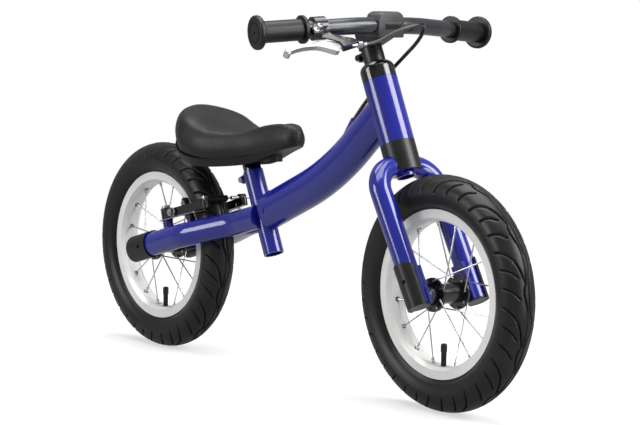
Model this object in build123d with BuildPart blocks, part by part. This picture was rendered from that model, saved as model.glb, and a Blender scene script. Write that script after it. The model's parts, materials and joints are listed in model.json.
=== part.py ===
from build123d import *
import math
import os

# Balance bike for a small child: 12-inch spoked wheels, welded steel frame and fork, and one hand lever that
# works a linear-pull rim brake on the rear wheel. Sizes are millimetres. +X is forward, +Y is the rider's
# left and +Z is up. The origin is on the ground, midway between the two axles.

# ---- wheels ----
wheelbase = 618.0
tyre_radius = 152.5
tyre_half_width = 24.4
tyre_wall = 3.0
tread_half_width = 13.0
tread_drop = 3.6
bead_thickness = 3.0
rim_half_width = 15.5
rim_wall = 1.9
rim_radius = 109.0
bead_seat_radius = 101.5
bead_seat_width = 4.0
rim_well_radius = 95.5
rim_floor = 1.8
rim_well_half_width = 7.5
rim_shoulder = 4.0
tube_wall = 1.5
valve_radius = 3.6
valve_length = 26.0
valve_cap_radius = 4.3
valve_cap_length = 11.0
valve_cap_overlap = 6.0
spoke_count = 16
spoke_radius = 1.0
spoke_head_radius = 1.9
spoke_head_thickness = 1.2
nipple_radius = 2.0
nipple_length = 10.0
nipple_head_radius = 4.2
nipple_head_thickness = 1.8
nipple_head_lift = 1.6
nipple_hole_radius = 3.5
spoke_elbow_reach = 2.9
hub_flange_radius = 22.0
hub_flange_offset = 21.0
hub_flange_thickness = 3.4
hub_spoke_circle = 18.5
hub_barrel_radius = 13.0
hub_cup_radius = 14.2
hub_half_length = 27.0
hub_bore_radius = 8.5
bearing_radius = 11.0
bearing_width = 7.0
axle_radius = 4.75
dropout_spacing = 70.0
dropout_thickness = 5.0
locknut_radius = 8.5
axle_nut_flats = 15.0
axle_nut_thickness = 7.0
washer_radius = 9.5
washer_thickness = 1.5
axle_end_reach = 1.0

# ---- fits ----
running_gap = 0.05
slide_gap = 0.1
seat_gap = 0.2
clear_gap = 0.3

# ---- head tube, steerer and headset ----
head_angle = 65.4
fork_offset = 12.5
head_bottom = 209.0
head_length = 88.4
head_radius = 23.0
head_bore_radius = 17.0
headset_bearing_radius = 20.4
headset_bearing_width = 7.0
steerer_radius = 12.7
steerer_wall = 1.5
steerer_bottom = 163.0
upper_cover_height = 24.5
upper_cover_rounding = 10.0
cover_wall = 2.4
lower_cover_tongue = 39.7
crown_offset = -3.0
crown_level = 178.0
lower_cover_roof = 3.0
collar_radius = 14.3
collar_height = 21.0
collar_ear_reach = 24.0
collar_ear_width = 6.0
collar_ear_height = 11.0
slit_width = 2.0
pinch_bolt_radius = 2.5
pinch_head_radius = 4.6
pinch_head_length = 5.0

# ---- fork ----
fork_rake = 5.0
blade_radius = 14.3
blade_wall = 1.8
crown_height = 178.7
blade_bend_radius = 34.0
blade_tail = 14.0
end_cover_wall = 2.0
end_cover_height = 45.0
end_cover_arch = 9.0
end_cover_tail = 15.5
end_cover_front = 5.0
end_cover_hole_forward = 4.0
end_cover_hole_height = 19.5
end_cover_hole_radius = 2.6
access_height = 33.0
dropout_height = 38.0
dropout_half_width = 11.0

# ---- seat tube, seat post and saddle ----
seat_angle = 65.6
seat_foot_x = -47.0
seat_foot_z = 165.4
seat_tube_length = 123.8
seat_tube_radius = 14.3
seat_post_radius = 12.7
seat_ream_length = 88.0
seat_foot_bore_radius = 12.4
seat_slit_length = 26.0
seat_ear_reach = 23.0
seat_ear_width = 6.0
seat_ear_height = 12.0
seat_post_insert = 84.0
seat_post_above = 28.0
seat_post_wall = 1.6
seat_plate_length = 58.0
seat_plate_width = 34.0
seat_plate_thickness = 3.0
saddle_half_width = 65.0
saddle_foot_share = 0.82
saddle_ridge_share = 0.62
saddle_stations = ((117, 7, 17, 24, 33, 0), (104, 16, 13, 25, 41, 1), (70, 22, 1, 21, 44, 2),
                   (25, 34, -14, 14, 42, 3), (-20, 54, -20, 12, 49, 5), (-64, 65, -20, 20, 60, 6),
                   (-98, 58, -11, 26, 65, 5), (-120, 36, 2, 30, 62, 2), (-129, 15, 14, 32, 50, 0))
saddle_core_wall = 4.0
saddle_core_circles = ((-64, 52), (58, 13))
saddle_core_top = 7.0
saddle_core_foot = -8.0
saddle_seam_points = ((119, 22), (50, 2), (-24, -9), (-80, -3), (-132, 30))

# ---- main tube ----
main_half_height = 26.0
main_half_width = 20.0
main_wall = 2.0
main_seat_height = 218.7
main_bend_x = 82.5
main_bend_z = 287.5
main_head_x = 188.0
main_head_z = 382.4
main_bend_radius = 430.0
main_end_gap = 12.0
main_end_plate = 2.5
cable_stop_radius = 4.2
stop_top_x = 121.5
stop_top_z = 364.0
stop_dive = 54.5
stop_length = 30.0
stop_bore_depth = 8.0
port_x = -52.0
port_y = 19.5
port_z = 227.0
port_ring_radius = 5.0
port_ring_reach = 21.0

# ---- stays ----
stay_angle = 15.5
stay_drop = 3.0
stay_half_height = 17.2
stay_half_width = 12.5
stay_wall = 1.8
stay_tail_offset = 48.0
stay_head_offset = 15.5
stay_bend_start = 112.0
stay_bend_end = 196.0
stay_bend_radius = 60.0
stay_lap = 3.9
stay_tail = 10.0
stay_plate_length = 34.0
stay_plate_half_height = 9.0
stay_access = 26.0
stay_cap_head = 32.0
stay_cap_tail = 22.0
stay_cap_rounding = 10.8
stay_cap_inner = 2.5
stay_cap_wall = 2.0
stay_cap_hole = 17.0

# ---- stem, handlebar and grips ----
stem_post_radius = 11.1
stem_post_length = 125.0
stem_neck_radius = 13.5
stem_neck_gap = 1.0
stem_head_height = 26.0
stem_shoulder = 5.0
stem_width = 26.0
stem_clamp_wall = 3.2
wedge_slope = 0.6
wedge_head_depth = 7.0
wedge_length = 22.0
wedge_bolt_radius = 3.5
wedge_bolt_head_radius = 5.5
bar_radius = 11.1
bar_wall = 1.6
bar_x = 184.5
bar_z = 490.4
bar_bend_y = 48.0
bar_bend_radius = 220.0
bar_end_y = 194.4
bar_end_back = 30.1
bar_end_drop = 10.1
block_length = 54.0
block_depth = 34.0
block_height = 34.0
block_wall = 2.4
block_x = 189.0
block_rounding = 2.0
block_chamfer = 7.0
grip_length = 71.0
grip_radius = 14.0
grip_end_wall = 2.5
grip_outer_flange_radius = 22.0
grip_outer_flange_width = 8.0
grip_inner_flange_radius = 18.3
grip_inner_flange_width = 5.0
grip_flange_rounding = 2.8
grip_inner_rounding = 1.8
grip_vent_radius = 1.8
grip_ring_radii = (8.0, 13.0)
grip_ring_width = 1.4
grip_ring_depth = 1.0

# ---- brake lever ----
lever_clamp_y = 106.0
lever_clamp_width = 17.0
lever_clamp_wall = 4.4
lever_drop = 27.0
lever_pivot_along = 21.0
lever_pivot_out = 28.0
lever_pin_radius = 2.5
lever_eye_radius = 6.5
lever_eye_thickness = 7.0
lever_blade_points = ((2, 34.5), (-8, 35.5), (-20, 36), (-42, 35), (-56, 36), (-63, 41))
lever_tip_radius = 4.2
lever_slot_foot = 19.5
slot_inner = 28.5
lever_blade_height = 11.0
lever_blade_thickness = 5.0
bracket_thickness = 15.0
bracket_slot = 7.6
bracket_nose_along = 47.0
bracket_nose_out = 27.0
bracket_nose_radius = 6.5
bracket_web = 5.0
clamp_slit = 1.6
clamp_ear_depth = 12.0
clamp_ear_reach = 3.6
clamp_ear_inset = 0.8
adjuster_radius = 3.6
adjuster_nut_radius = 6.2
adjuster_nut_length = 4.5
adjuster_length = 13.0
screw_radius = 2.0
screw_head_radius = 4.0
screw_head_length = 2.4
screw_cross_width = 1.2
housing_socket = 7.0
housing_lead = 9.0

# ---- rear brake ----
boss_along = 73.0
boss_spread = 42.0
boss_radius = 7.5
boss_top = 27.0
stud_radius = 4.0
stud_top = 46.3
stud_bore_radius = 2.5
pivot_bolt_length = 14.0
pivot_head_radius = 6.0
pivot_head_height = 3.6
pivot_socket_radius = 2.5
arm_low = 27.3
arm_high = 46.0
arm_barrel_radius = 8.0
arm_tip_along = 165.0
arm_tip_spread = 35.0
arm_plate_low = 30.5
arm_plate_high = 42.5
arm_width = 10.0
arm_slot_length = 16.0
pad_height_on_arm = 36.5
pad_along = 97.6
pad_gap = 1.2
pad_length = 44.0
pad_width = 9.0
pad_thickness = 6.0
pad_holder_thickness = 3.0
pad_stud_radius = 3.0
pad_washer_radius = 6.5
pad_nut_flats = 10.0
pad_nut_length = 5.0
pad_spacer = 6.2
pad_stud_length = 34.0
pad_nut_offset = 25.6
wire_radius = 0.8
wire_tail = 12.0
boot_radius = 5.0
boot_length = 42.0
boot_folds = 9
boot_groove = 1.3
noodle_radius = 2.8
noodle_bend_radius = 17.0
noodle_along = 156.0
noodle_tip = 16.0
noodle_corner = 58.0
noodle_mouth = 184.0
cradle_wall = 2.4
ferrule_radius = 3.6
ferrule_length = 9.0
anchor_bolt_radius = 2.5
anchor_head_radius = 5.0
anchor_head_height = 3.6
anchor_head_taper = 20.0
spring_bend_radius = 2.5
spring_route = ((66, 50.9, 28.8), (78, 50.9, 28.8), (140, 43.5, 28.8), (149, 28.2, 28.8), (149, 28.2, 36))
spring_wire_radius = 0.75
housing_radius = 2.5
front_housing_points = ((221, -8, 488), (226, 24, 494), (212, 44, 492), (197, 47, 472),
                        (172, 38, 446), (148, 26, 418))
rear_housing_points = ((-94, 47, 234),)
wire_bend_radius = 20.0
wire_dive = 10.0
wire_hole_gap = 1.2
port_reach = 0.9
port_hole_gap = 0.6
rear_housing_x = -38.0
rear_housing_y = 4.0
rear_housing_z = 232.0


def write_piece(builder, node):
    """Label a finished piece and write it as its own STEP file."""
    builder.part.label = node
    export_step(builder.part, f"parts/{node}.step")



def place_piece(builder, plane, node):
    """Move a piece modelled in its own local frame onto the given plane, then write it."""
    with BuildPart(plane) as placed:
        add(builder.part)
    write_piece(placed, node)


os.makedirs("parts", exist_ok=True)

# ---- reference points, directions and planes ----
front_axle = Vector(wheelbase / 2, 0, tyre_radius)
rear_axle = Vector(-wheelbase / 2, 0, tyre_radius)
steer_tilt = math.radians(head_angle)
steer_up = Vector(-math.cos(steer_tilt), 0, math.sin(steer_tilt))
steer_forward = Vector(math.sin(steer_tilt), 0, math.cos(steer_tilt))
steer_foot = front_axle - steer_forward * fork_offset
steer_plane = Plane(origin=steer_foot, x_dir=steer_forward, z_dir=steer_up)
seat_tilt = math.radians(seat_angle)
seat_foot = Vector(seat_foot_x, 0, seat_foot_z)
seat_up = Vector(-math.cos(seat_tilt), 0, math.sin(seat_tilt))
seat_forward = Vector(math.sin(seat_tilt), 0, math.cos(seat_tilt))
seat_plane = Plane(origin=seat_foot, x_dir=seat_forward, z_dir=seat_up)
sides = (("left", 1), ("right", -1))


# ---- wheels: modelled once about a local axle, Z, with X forward and Y up, then placed at both axles ----
def wheel_angle(index):
    """Return the angle, in degrees from straight ahead, of one rim hole; the valve is midway between two."""
    return (index + 0.5) * 360 / spoke_count


def wheel_point(angle, radius, across):
    """Return the local point at an angle and radius from the axle, offset sideways along it."""
    turn = math.radians(angle)
    return Vector(radius * math.cos(turn), radius * math.sin(turn), across)


valve_angle = 270
bead_half_width = rim_half_width - rim_wall - seat_gap
bead_foot = bead_seat_radius + seat_gap
bead_top = rim_radius + clear_gap
bead_inner = bead_half_width - bead_thickness
shoulder_radius = tyre_radius - tread_drop
sidewall_radius = (bead_top + shoulder_radius) / 2
cavity_height = tyre_radius - tyre_wall - bead_top
cavity_radius = (cavity_height**2 + bead_inner**2) / (2 * cavity_height)
tube_centre = tyre_radius - tyre_wall - cavity_radius
tube_radius = cavity_radius - clear_gap
rim_floor_radius = rim_well_radius - rim_floor
seat_edge = rim_half_width - rim_wall - bead_seat_width
valve_foot = tube_centre - tube_radius + tube_wall / 2
cap_foot = rim_well_radius - valve_length
flange_inner = hub_flange_offset - hub_flange_thickness / 2
flange_outer = hub_flange_offset + hub_flange_thickness / 2
bearing_outer = hub_half_length - clear_gap
bearing_inner = bearing_outer - bearing_width
half_spacing = dropout_spacing / 2
nut_foot = half_spacing + dropout_thickness + washer_thickness
axle_half_length = nut_foot + axle_nut_thickness + axle_end_reach

with BuildPart() as tyre:
    with BuildSketch(Plane.XZ):
        with BuildLine():
            ThreePointArc((bead_top, -bead_half_width), (sidewall_radius, -tyre_half_width),
                          (shoulder_radius, -tread_half_width))
            ThreePointArc((shoulder_radius, -tread_half_width), (tyre_radius, 0),
                          (shoulder_radius, tread_half_width))
            ThreePointArc((shoulder_radius, tread_half_width), (sidewall_radius, tyre_half_width),
                          (bead_top, bead_half_width))
            Polyline((bead_top, bead_half_width), (bead_foot, bead_half_width),
                     (bead_foot, bead_inner), (bead_top, bead_inner))
            ThreePointArc((bead_top, bead_inner), (tyre_radius - tyre_wall, 0), (bead_top, -bead_inner))
            Polyline((bead_top, -bead_inner), (bead_foot, -bead_inner),
                     (bead_foot, -bead_half_width), (bead_top, -bead_half_width))
        make_face()
    revolve(axis=Axis.Z)

with BuildPart() as inner_tube:
    with BuildSketch(Plane.XZ):
        with Locations((tube_centre, 0)):
            Circle(tube_radius)
            Circle(tube_radius - tube_wall, mode=Mode.SUBTRACT)
    revolve(axis=Axis.Z)
    with BuildSketch(Plane(origin=wheel_point(valve_angle, valve_foot, 0), z_dir=(0, 1, 0))):
        Circle(valve_radius)
    extrude(amount=valve_foot - cap_foot)

cap_plane = Plane(origin=wheel_point(valve_angle, cap_foot + valve_cap_overlap, 0), z_dir=(0, 1, 0))
with BuildPart() as valve_cap:
    with BuildSketch(cap_plane):
        Circle(valve_cap_radius)
    extrude(amount=valve_cap_length)
    fillet(valve_cap.edges().group_by(Axis.Y)[-1], valve_cap_radius / 2)
    with BuildSketch(cap_plane):
        Circle(valve_radius + running_gap)
    extrude(amount=valve_cap_overlap + running_gap, mode=Mode.SUBTRACT)

valve_drill = Plane(origin=wheel_point(valve_angle, rim_floor_radius - rim_floor, 0), z_dir=(0, -1, 0))
with BuildPart() as rim_drill:
    for index in range(spoke_count):
        foot = wheel_point(wheel_angle(index), rim_floor_radius - rim_floor, 0)
        with BuildSketch(Plane(origin=foot, z_dir=foot)):
            Circle(nipple_hole_radius)
        extrude(amount=4 * rim_floor)
    with BuildSketch(valve_drill):
        Circle(valve_radius + clear_gap)
    extrude(amount=4 * rim_floor)

with BuildPart() as rim:
    with BuildSketch(Plane.XZ):
        with BuildLine():
            Polyline((rim_floor_radius, 0), (rim_floor_radius, seat_edge),
                     (rim_floor_radius + rim_shoulder, rim_half_width), (rim_radius, rim_half_width),
                     (rim_radius, rim_half_width - rim_wall), (bead_seat_radius, rim_half_width - rim_wall),
                     (bead_seat_radius, seat_edge), (rim_well_radius, rim_well_half_width),
                     (rim_well_radius, 0), (rim_floor_radius, 0))
        make_face()
        mirror(about=Plane.XZ)
    revolve(axis=Axis.Z)
    add(rim_drill.part, mode=Mode.SUBTRACT)

# One set of spokes: a crossing pair on each flange, one of each pair with its head inside the flange.
spoke_sets = spoke_count // 4
with BuildPart() as spoke_set:
    for index in range(4):
        side = 1 if index % 2 else -1
        head_side = 1 if index < 2 else -1
        hole_angle = wheel_angle(index) + head_side * 720 / spoke_count
        elbow_across = hub_flange_offset + head_side * (hub_flange_thickness / 2 + spoke_elbow_reach)
        head_across = hub_flange_offset - head_side * (hub_flange_thickness / 2 + running_gap)
        elbow = wheel_point(hole_angle, hub_spoke_circle, side * elbow_across)
        rim_point = wheel_point(wheel_angle(index), rim_well_radius + nipple_head_lift, 0)
        run = rim_point - elbow
        toward_head = (0, 0, -side * head_side)
        with BuildSketch(Plane(origin=elbow, z_dir=run)):
            Circle(spoke_radius)
        extrude(amount=run.length)
        with BuildSketch(Plane(origin=rim_point - run.normalized() * nipple_length, z_dir=run)):
            Circle(nipple_radius)
        extrude(amount=nipple_length)
        with BuildSketch(Plane(origin=rim_point, z_dir=run)):
            Circle(nipple_head_radius)
        extrude(amount=nipple_head_thickness)
        with BuildSketch(Plane(origin=elbow, z_dir=toward_head)):
            Circle(spoke_radius)
        extrude(amount=abs(elbow_across - head_across) + spoke_head_thickness)
        head_foot = wheel_point(hole_angle, hub_spoke_circle, side * head_across)
        with BuildSketch(Plane(origin=head_foot, z_dir=toward_head)):
            Circle(spoke_head_radius)
        extrude(amount=spoke_head_thickness)

with BuildPart() as spokes:
    with PolarLocations(0, spoke_sets):
        add(spoke_set.part)

with BuildPart() as hub:
    with BuildSketch(Plane.XZ):
        with BuildLine():
            Polyline((hub_bore_radius, 0), (hub_bore_radius, bearing_inner), (bearing_radius, bearing_inner),
                     (bearing_radius, hub_half_length), (hub_cup_radius, hub_half_length),
                     (hub_cup_radius, flange_outer), (hub_flange_radius, flange_outer),
                     (hub_flange_radius, flange_inner), (hub_barrel_radius, flange_inner),
                     (hub_barrel_radius, 0), (hub_bore_radius, 0))
        make_face()
        mirror(about=Plane.XZ)
    revolve(axis=Axis.Z)
    for side in (-1, 1):
        with BuildSketch(Plane.XY.offset(side * hub_flange_offset)):
            with PolarLocations(hub_spoke_circle, spoke_count // 2, start_angle=wheel_angle((side + 1) // 2)):
                Circle(spoke_radius + clear_gap)
        extrude(amount=hub_flange_thickness, both=True, mode=Mode.SUBTRACT)

with BuildPart() as hub_bearings:
    with BuildSketch(Plane.XZ):
        with BuildLine():
            Polyline((axle_radius + running_gap, bearing_inner), (bearing_radius, bearing_inner),
                     (bearing_radius, bearing_outer), (axle_radius + running_gap, bearing_outer), close=True)
        make_face()
        mirror(about=Plane.XZ)
    revolve(axis=Axis.Z)

with BuildPart() as axle_rod:
    with BuildSketch(Plane.XZ):
        with BuildLine():
            locknut_foot = hub_half_length + clear_gap
            Polyline((0, 0), (axle_radius, 0), (axle_radius, locknut_foot), (locknut_radius, locknut_foot),
                     (locknut_radius, half_spacing), (axle_radius, half_spacing),
                     (axle_radius, axle_half_length), (0, axle_half_length), close=True)
        make_face()
        mirror(about=Plane.XZ)
    revolve(axis=Axis.Z)

with BuildPart() as axle_nuts:
    for side in (-1, 1):
        with BuildSketch(Plane(origin=(0, 0, side * (half_spacing + dropout_thickness)), z_dir=(0, 0, side))):
            Circle(washer_radius)
            Circle(axle_radius + running_gap, mode=Mode.SUBTRACT)
        extrude(amount=washer_thickness)
        with BuildSketch(Plane(origin=(0, 0, side * nut_foot), z_dir=(0, 0, side))):
            RegularPolygon(axle_nut_flats / 2, 6, major_radius=False)
            Circle(axle_radius + running_gap, mode=Mode.SUBTRACT)
        extrude(amount=axle_nut_thickness)

wheel_pieces = {"tyre": tyre, "inner_tube": inner_tube, "valve_cap": valve_cap, "rim": rim, "spokes": spokes,
                "hub": hub, "hub_bearings": hub_bearings, "axle": axle_rod, "axle_nuts": axle_nuts}
for end, centre in (("front", front_axle), ("rear", rear_axle)):
    for name, piece in wheel_pieces.items():
        with BuildPart(Plane(origin=centre, x_dir=(1, 0, 0), z_dir=(0, -1, 0))) as placed:
            add(piece.part)
        write_piece(placed, f"{end}_{name}")

# ---- head tube, with a bearing pressed in at each end; steering frame: X forward, Y left, Z up the axis ----
head_top = head_bottom + head_length
with BuildPart() as head_tube:
    with BuildSketch(Plane.XY.offset(head_bottom)):
        Circle(head_radius)
        Circle(head_bore_radius, mode=Mode.SUBTRACT)
    extrude(amount=head_length)
    for level in (head_bottom, head_top - headset_bearing_width):
        with BuildSketch(Plane.XY.offset(level)):
            Circle(headset_bearing_radius)
        extrude(amount=headset_bearing_width, mode=Mode.SUBTRACT)
place_piece(head_tube, steer_plane, "head_tube")

with BuildPart() as headset_bearings:
    for level in (head_bottom, head_top - headset_bearing_width):
        with BuildSketch(Plane.XY.offset(level)):
            Circle(headset_bearing_radius - running_gap)
            Circle(steerer_radius + running_gap, mode=Mode.SUBTRACT)
        extrude(amount=headset_bearing_width)
place_piece(headset_bearings, steer_plane, "headset_bearings")

# ---- upper headset cover, and the split clamp above it that holds the quill in the steerer ----
cover_foot = head_top + clear_gap
cover_top = cover_foot + upper_cover_height
collar_top = cover_top + collar_height
steerer_top = collar_top + seat_gap
with BuildPart() as upper_cover:
    with BuildSketch(Plane.XY.offset(cover_foot)):
        Circle(head_radius)
    extrude(amount=upper_cover_height)
    fillet(upper_cover.edges().group_by(Axis.Z)[-1], upper_cover_rounding)
    with BuildSketch(Plane.XY.offset(cover_foot)):
        Circle(head_radius - cover_wall)
    extrude(amount=upper_cover_height - upper_cover_rounding, mode=Mode.SUBTRACT)
    with BuildSketch(Plane.XY.offset(cover_foot)):
        Circle(steerer_radius + running_gap)
    extrude(amount=upper_cover_height, mode=Mode.SUBTRACT)
place_piece(upper_cover, steer_plane, "upper_headset_cover")

ear_reach = collar_ear_width + slit_width / 2
ear_middle = -(collar_radius + collar_ear_reach) / 2
with BuildPart() as clamp_collar:
    with BuildSketch(Plane.XY.offset(cover_top)):
        Circle(collar_radius)
    extrude(amount=collar_height)
    with BuildSketch(Plane.XZ.offset(-ear_reach)):
        with Locations((-collar_ear_reach / 2, collar_top - collar_ear_height / 2)):
            RectangleRounded(collar_ear_reach, collar_ear_height, collar_ear_height / 3)
    extrude(amount=2 * ear_reach)
    with BuildSketch(Plane.XY.offset(cover_top)):
        Circle(steerer_radius + running_gap)
        with Locations((-collar_ear_reach / 2, 0)):
            Rectangle(collar_ear_reach, slit_width)
    extrude(amount=collar_height, mode=Mode.SUBTRACT)
    with BuildSketch(Plane.XZ.offset(-ear_reach)):
        with Locations((ear_middle, collar_top - collar_ear_height / 2)):
            Circle(pinch_bolt_radius + seat_gap)
    extrude(amount=2 * ear_reach, mode=Mode.SUBTRACT)
place_piece(clamp_collar, steer_plane, "clamp_collar")

with BuildPart() as collar_bolt:
    with BuildSketch(Plane.XZ.offset(-ear_reach - pinch_head_length)):
        with Locations((ear_middle, collar_top - collar_ear_height / 2)):
            Circle(pinch_bolt_radius)
    extrude(amount=2 * (ear_reach + pinch_head_length))
    for level in (-ear_reach - pinch_head_length, ear_reach):
        with BuildSketch(Plane.XZ.offset(level)):
            with Locations((ear_middle, collar_top - collar_ear_height / 2)):
                RegularPolygon(pinch_head_radius, 6)
        extrude(amount=pinch_head_length)
place_piece(collar_bolt, steer_plane, "collar_bolt")

# ---- fork: a steerer and two unicrown blades ----
# Fork frame: origin on the axle, X forward, Z up the blades.
rake = math.radians(fork_rake)
blade_up = steer_up * math.cos(rake) - steer_forward * math.sin(rake)
blade_forward = steer_forward * math.cos(rake) + steer_up * math.sin(rake)
fork_plane = Plane(origin=front_axle, x_dir=blade_forward, z_dir=blade_up)
blade_offset = half_spacing + blade_radius
with BuildPart() as steerer_tube:
    with BuildSketch(Plane.XY.offset(steerer_bottom)):
        Circle(steerer_radius)
        Circle(steerer_radius - steerer_wall, mode=Mode.SUBTRACT)
    extrude(amount=steerer_top - steerer_bottom)
place_piece(steerer_tube, steer_plane, "steerer_tube")

with BuildPart() as steerer_cope:
    with BuildSketch(steer_plane.offset(steerer_bottom)):
        Circle(steerer_radius)
    extrude(amount=steerer_top - steerer_bottom)

for side, sign in sides:
    with BuildPart() as blade:
        with BuildLine(Plane.YZ) as blade_path:
            FilletPolyline((0, crown_height), (sign * blade_offset, crown_height),
                           (sign * blade_offset, -blade_tail), radius=blade_bend_radius)
        with BuildSketch(Plane(origin=(0, 0, crown_height), x_dir=(1, 0, 0), z_dir=(0, sign, 0))):
            Circle(blade_radius)
            Circle(blade_radius - blade_wall, mode=Mode.SUBTRACT)
        sweep()
        with BuildSketch(Plane.XZ.offset(-sign * half_spacing)):
            with Locations((0, (dropout_height - blade_tail) / 2)):
                Rectangle(2 * dropout_half_width, dropout_height + blade_tail)
        extrude(amount=-sign * dropout_thickness)
        with BuildSketch(Plane.XZ.offset(-sign * (half_spacing + dropout_thickness))):
            with Locations((0, (access_height - 2 * blade_tail) / 2)):
                Rectangle(4 * blade_radius, access_height + 2 * blade_tail)
        extrude(amount=-sign * 2 * blade_radius, mode=Mode.SUBTRACT)
        with BuildSketch(Plane.XZ.offset(-sign * half_spacing)):
            Circle(axle_radius + slide_gap)
            with Locations((0, -blade_tail)):
                Rectangle(2 * (axle_radius + slide_gap), 2 * blade_tail)
        extrude(amount=2 * dropout_thickness, both=True, mode=Mode.SUBTRACT)
    with BuildPart(fork_plane) as placed:
        add(blade.part)
    with BuildPart() as coped:
        add(placed.part)
        add(steerer_cope.part, mode=Mode.SUBTRACT)
    write_piece(coped, f"fork_blade_{side}")

    with BuildPart() as end_cover:
        with BuildSketch(Plane.XY.offset(-end_cover_tail)):
            with Locations((0, sign * blade_offset)):
                Circle(blade_radius + seat_gap + end_cover_wall)
                Circle(blade_radius + seat_gap, mode=Mode.SUBTRACT)
            with BuildLine():
                front_edge = blade_radius * 2
                arch_foot = end_cover_height - 3 * end_cover_arch
                Polyline((0, sign * blade_offset), (front_edge, sign * (blade_offset + end_cover_front)),
                         (front_edge, sign * (blade_offset + front_edge)),
                         (-front_edge, sign * (blade_offset + front_edge)),
                         (-front_edge, sign * blade_offset), close=True)
            make_face(mode=Mode.INTERSECT)
        extrude(amount=end_cover_tail + end_cover_height)
        with BuildSketch(Plane.XZ):
            with BuildLine():
                ThreePointArc((-front_edge, arch_foot), (0, end_cover_height), (front_edge, arch_foot))
                Polyline((front_edge, arch_foot), (front_edge, 2 * end_cover_height),
                         (-front_edge, 2 * end_cover_height), (-front_edge, arch_foot))
            make_face()
        extrude(amount=2 * blade_offset, both=True, mode=Mode.SUBTRACT)
        with BuildSketch(Plane.XZ.offset(-sign * blade_offset)):
            with Locations((end_cover_hole_forward, end_cover_hole_height)):
                Circle(end_cover_hole_radius)
        extrude(amount=-sign * 2 * blade_radius, mode=Mode.SUBTRACT)
    place_piece(end_cover, fork_plane, f"fork_cover_{side}")

# ---- lower headset cover: a ring over the crown with a tongue in front of and behind the blades ----
cover_low = head_bottom - clear_gap
tunnel_radius = blade_radius + clear_gap
with BuildPart() as lower_cover:
    with BuildSketch(Plane.XY.offset(cover_low - lower_cover_tongue)):
        Circle(head_radius)
    extrude(amount=lower_cover_tongue)
    with BuildSketch(Plane.XY.offset(cover_low - lower_cover_tongue)):
        Circle(head_radius - cover_wall)
    extrude(amount=lower_cover_tongue - lower_cover_roof, mode=Mode.SUBTRACT)
    with BuildSketch(Plane.XY.offset(cover_low - lower_cover_roof)):
        Circle(steerer_radius + running_gap)
    extrude(amount=lower_cover_roof, mode=Mode.SUBTRACT)
    with BuildSketch(Plane.XZ):
        with Locations((crown_offset, crown_level)):
            Circle(tunnel_radius)
        with Locations((crown_offset, crown_level - lower_cover_tongue / 2)):
            Rectangle(2 * tunnel_radius, lower_cover_tongue)
    extrude(amount=2 * head_radius, both=True, mode=Mode.SUBTRACT)
place_piece(lower_cover, steer_plane, "lower_headset_cover")

# ---- main tube: an oval tube bent once, closed at its lower end and coped to the head and seat tubes ----
main_seat_x = seat_foot_x - (main_seat_height - seat_foot_z) / math.tan(seat_tilt)
main_rise = math.atan2(main_bend_z - main_seat_height, main_bend_x - main_seat_x)
main_start = (main_seat_x + main_end_gap * math.cos(main_rise),
              main_seat_height + main_end_gap * math.sin(main_rise))
stop_top = Vector(stop_top_x, 0, stop_top_z)
stop_axis = Vector(-math.cos(math.radians(stop_dive)), 0, -math.sin(math.radians(stop_dive)))
wire_turn = stop_top + stop_axis * (stop_length + wire_dive)
housing_end = Vector(rear_housing_x, rear_housing_y, rear_housing_z)
port = Vector(port_x, port_y, port_z)
with BuildPart() as main_tube:
    with BuildLine(Plane.XZ) as main_path:
        FilletPolyline(main_start, (main_bend_x, main_bend_z), (main_head_x, main_head_z),
                       radius=main_bend_radius)
    section = Plane(origin=main_path.line @ 0, x_dir=(0, 1, 0), z_dir=main_path.line % 0)
    with BuildSketch(section):
        Ellipse(main_half_width, main_half_height)
    sweep(path=main_path.line)
    with BuildSketch(Plane(origin=stop_top, z_dir=stop_axis)):
        Circle(cable_stop_radius)
    extrude(amount=stop_length)
    with BuildSketch(Plane.XZ):
        with Locations((port_x, port_z)):
            Circle(port_ring_radius)
    extrude(amount=port_ring_reach, both=True)
    with BuildSketch(section):
        Ellipse(main_half_width - main_wall, main_half_height - main_wall)
    sweep(path=main_path.line, mode=Mode.SUBTRACT)
    with BuildSketch(section):
        Ellipse(main_half_width - main_wall, main_half_height - main_wall)
    extrude(amount=main_end_plate)
    with BuildSketch(steer_plane.offset(head_bottom - head_length)):
        Circle(head_radius)
    extrude(amount=3 * head_length, mode=Mode.SUBTRACT)
    with BuildSketch(seat_plane):
        Circle(seat_tube_radius)
    extrude(amount=seat_tube_length, mode=Mode.SUBTRACT)
    with BuildSketch(Plane(origin=stop_top, z_dir=stop_axis)):
        Circle(housing_radius + running_gap)
    extrude(amount=stop_bore_depth, mode=Mode.SUBTRACT)
    with BuildSketch(Plane(origin=stop_top, z_dir=stop_axis)):
        Circle(wire_radius + wire_hole_gap)
    extrude(amount=stop_length + 2 * main_wall, mode=Mode.SUBTRACT)
    with BuildSketch(Plane(origin=housing_end, z_dir=port - housing_end)):
        Circle(housing_radius + port_hole_gap)
    extrude(amount=2 * (port - housing_end).length, mode=Mode.SUBTRACT)
write_piece(main_tube, "main_tube")

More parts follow.
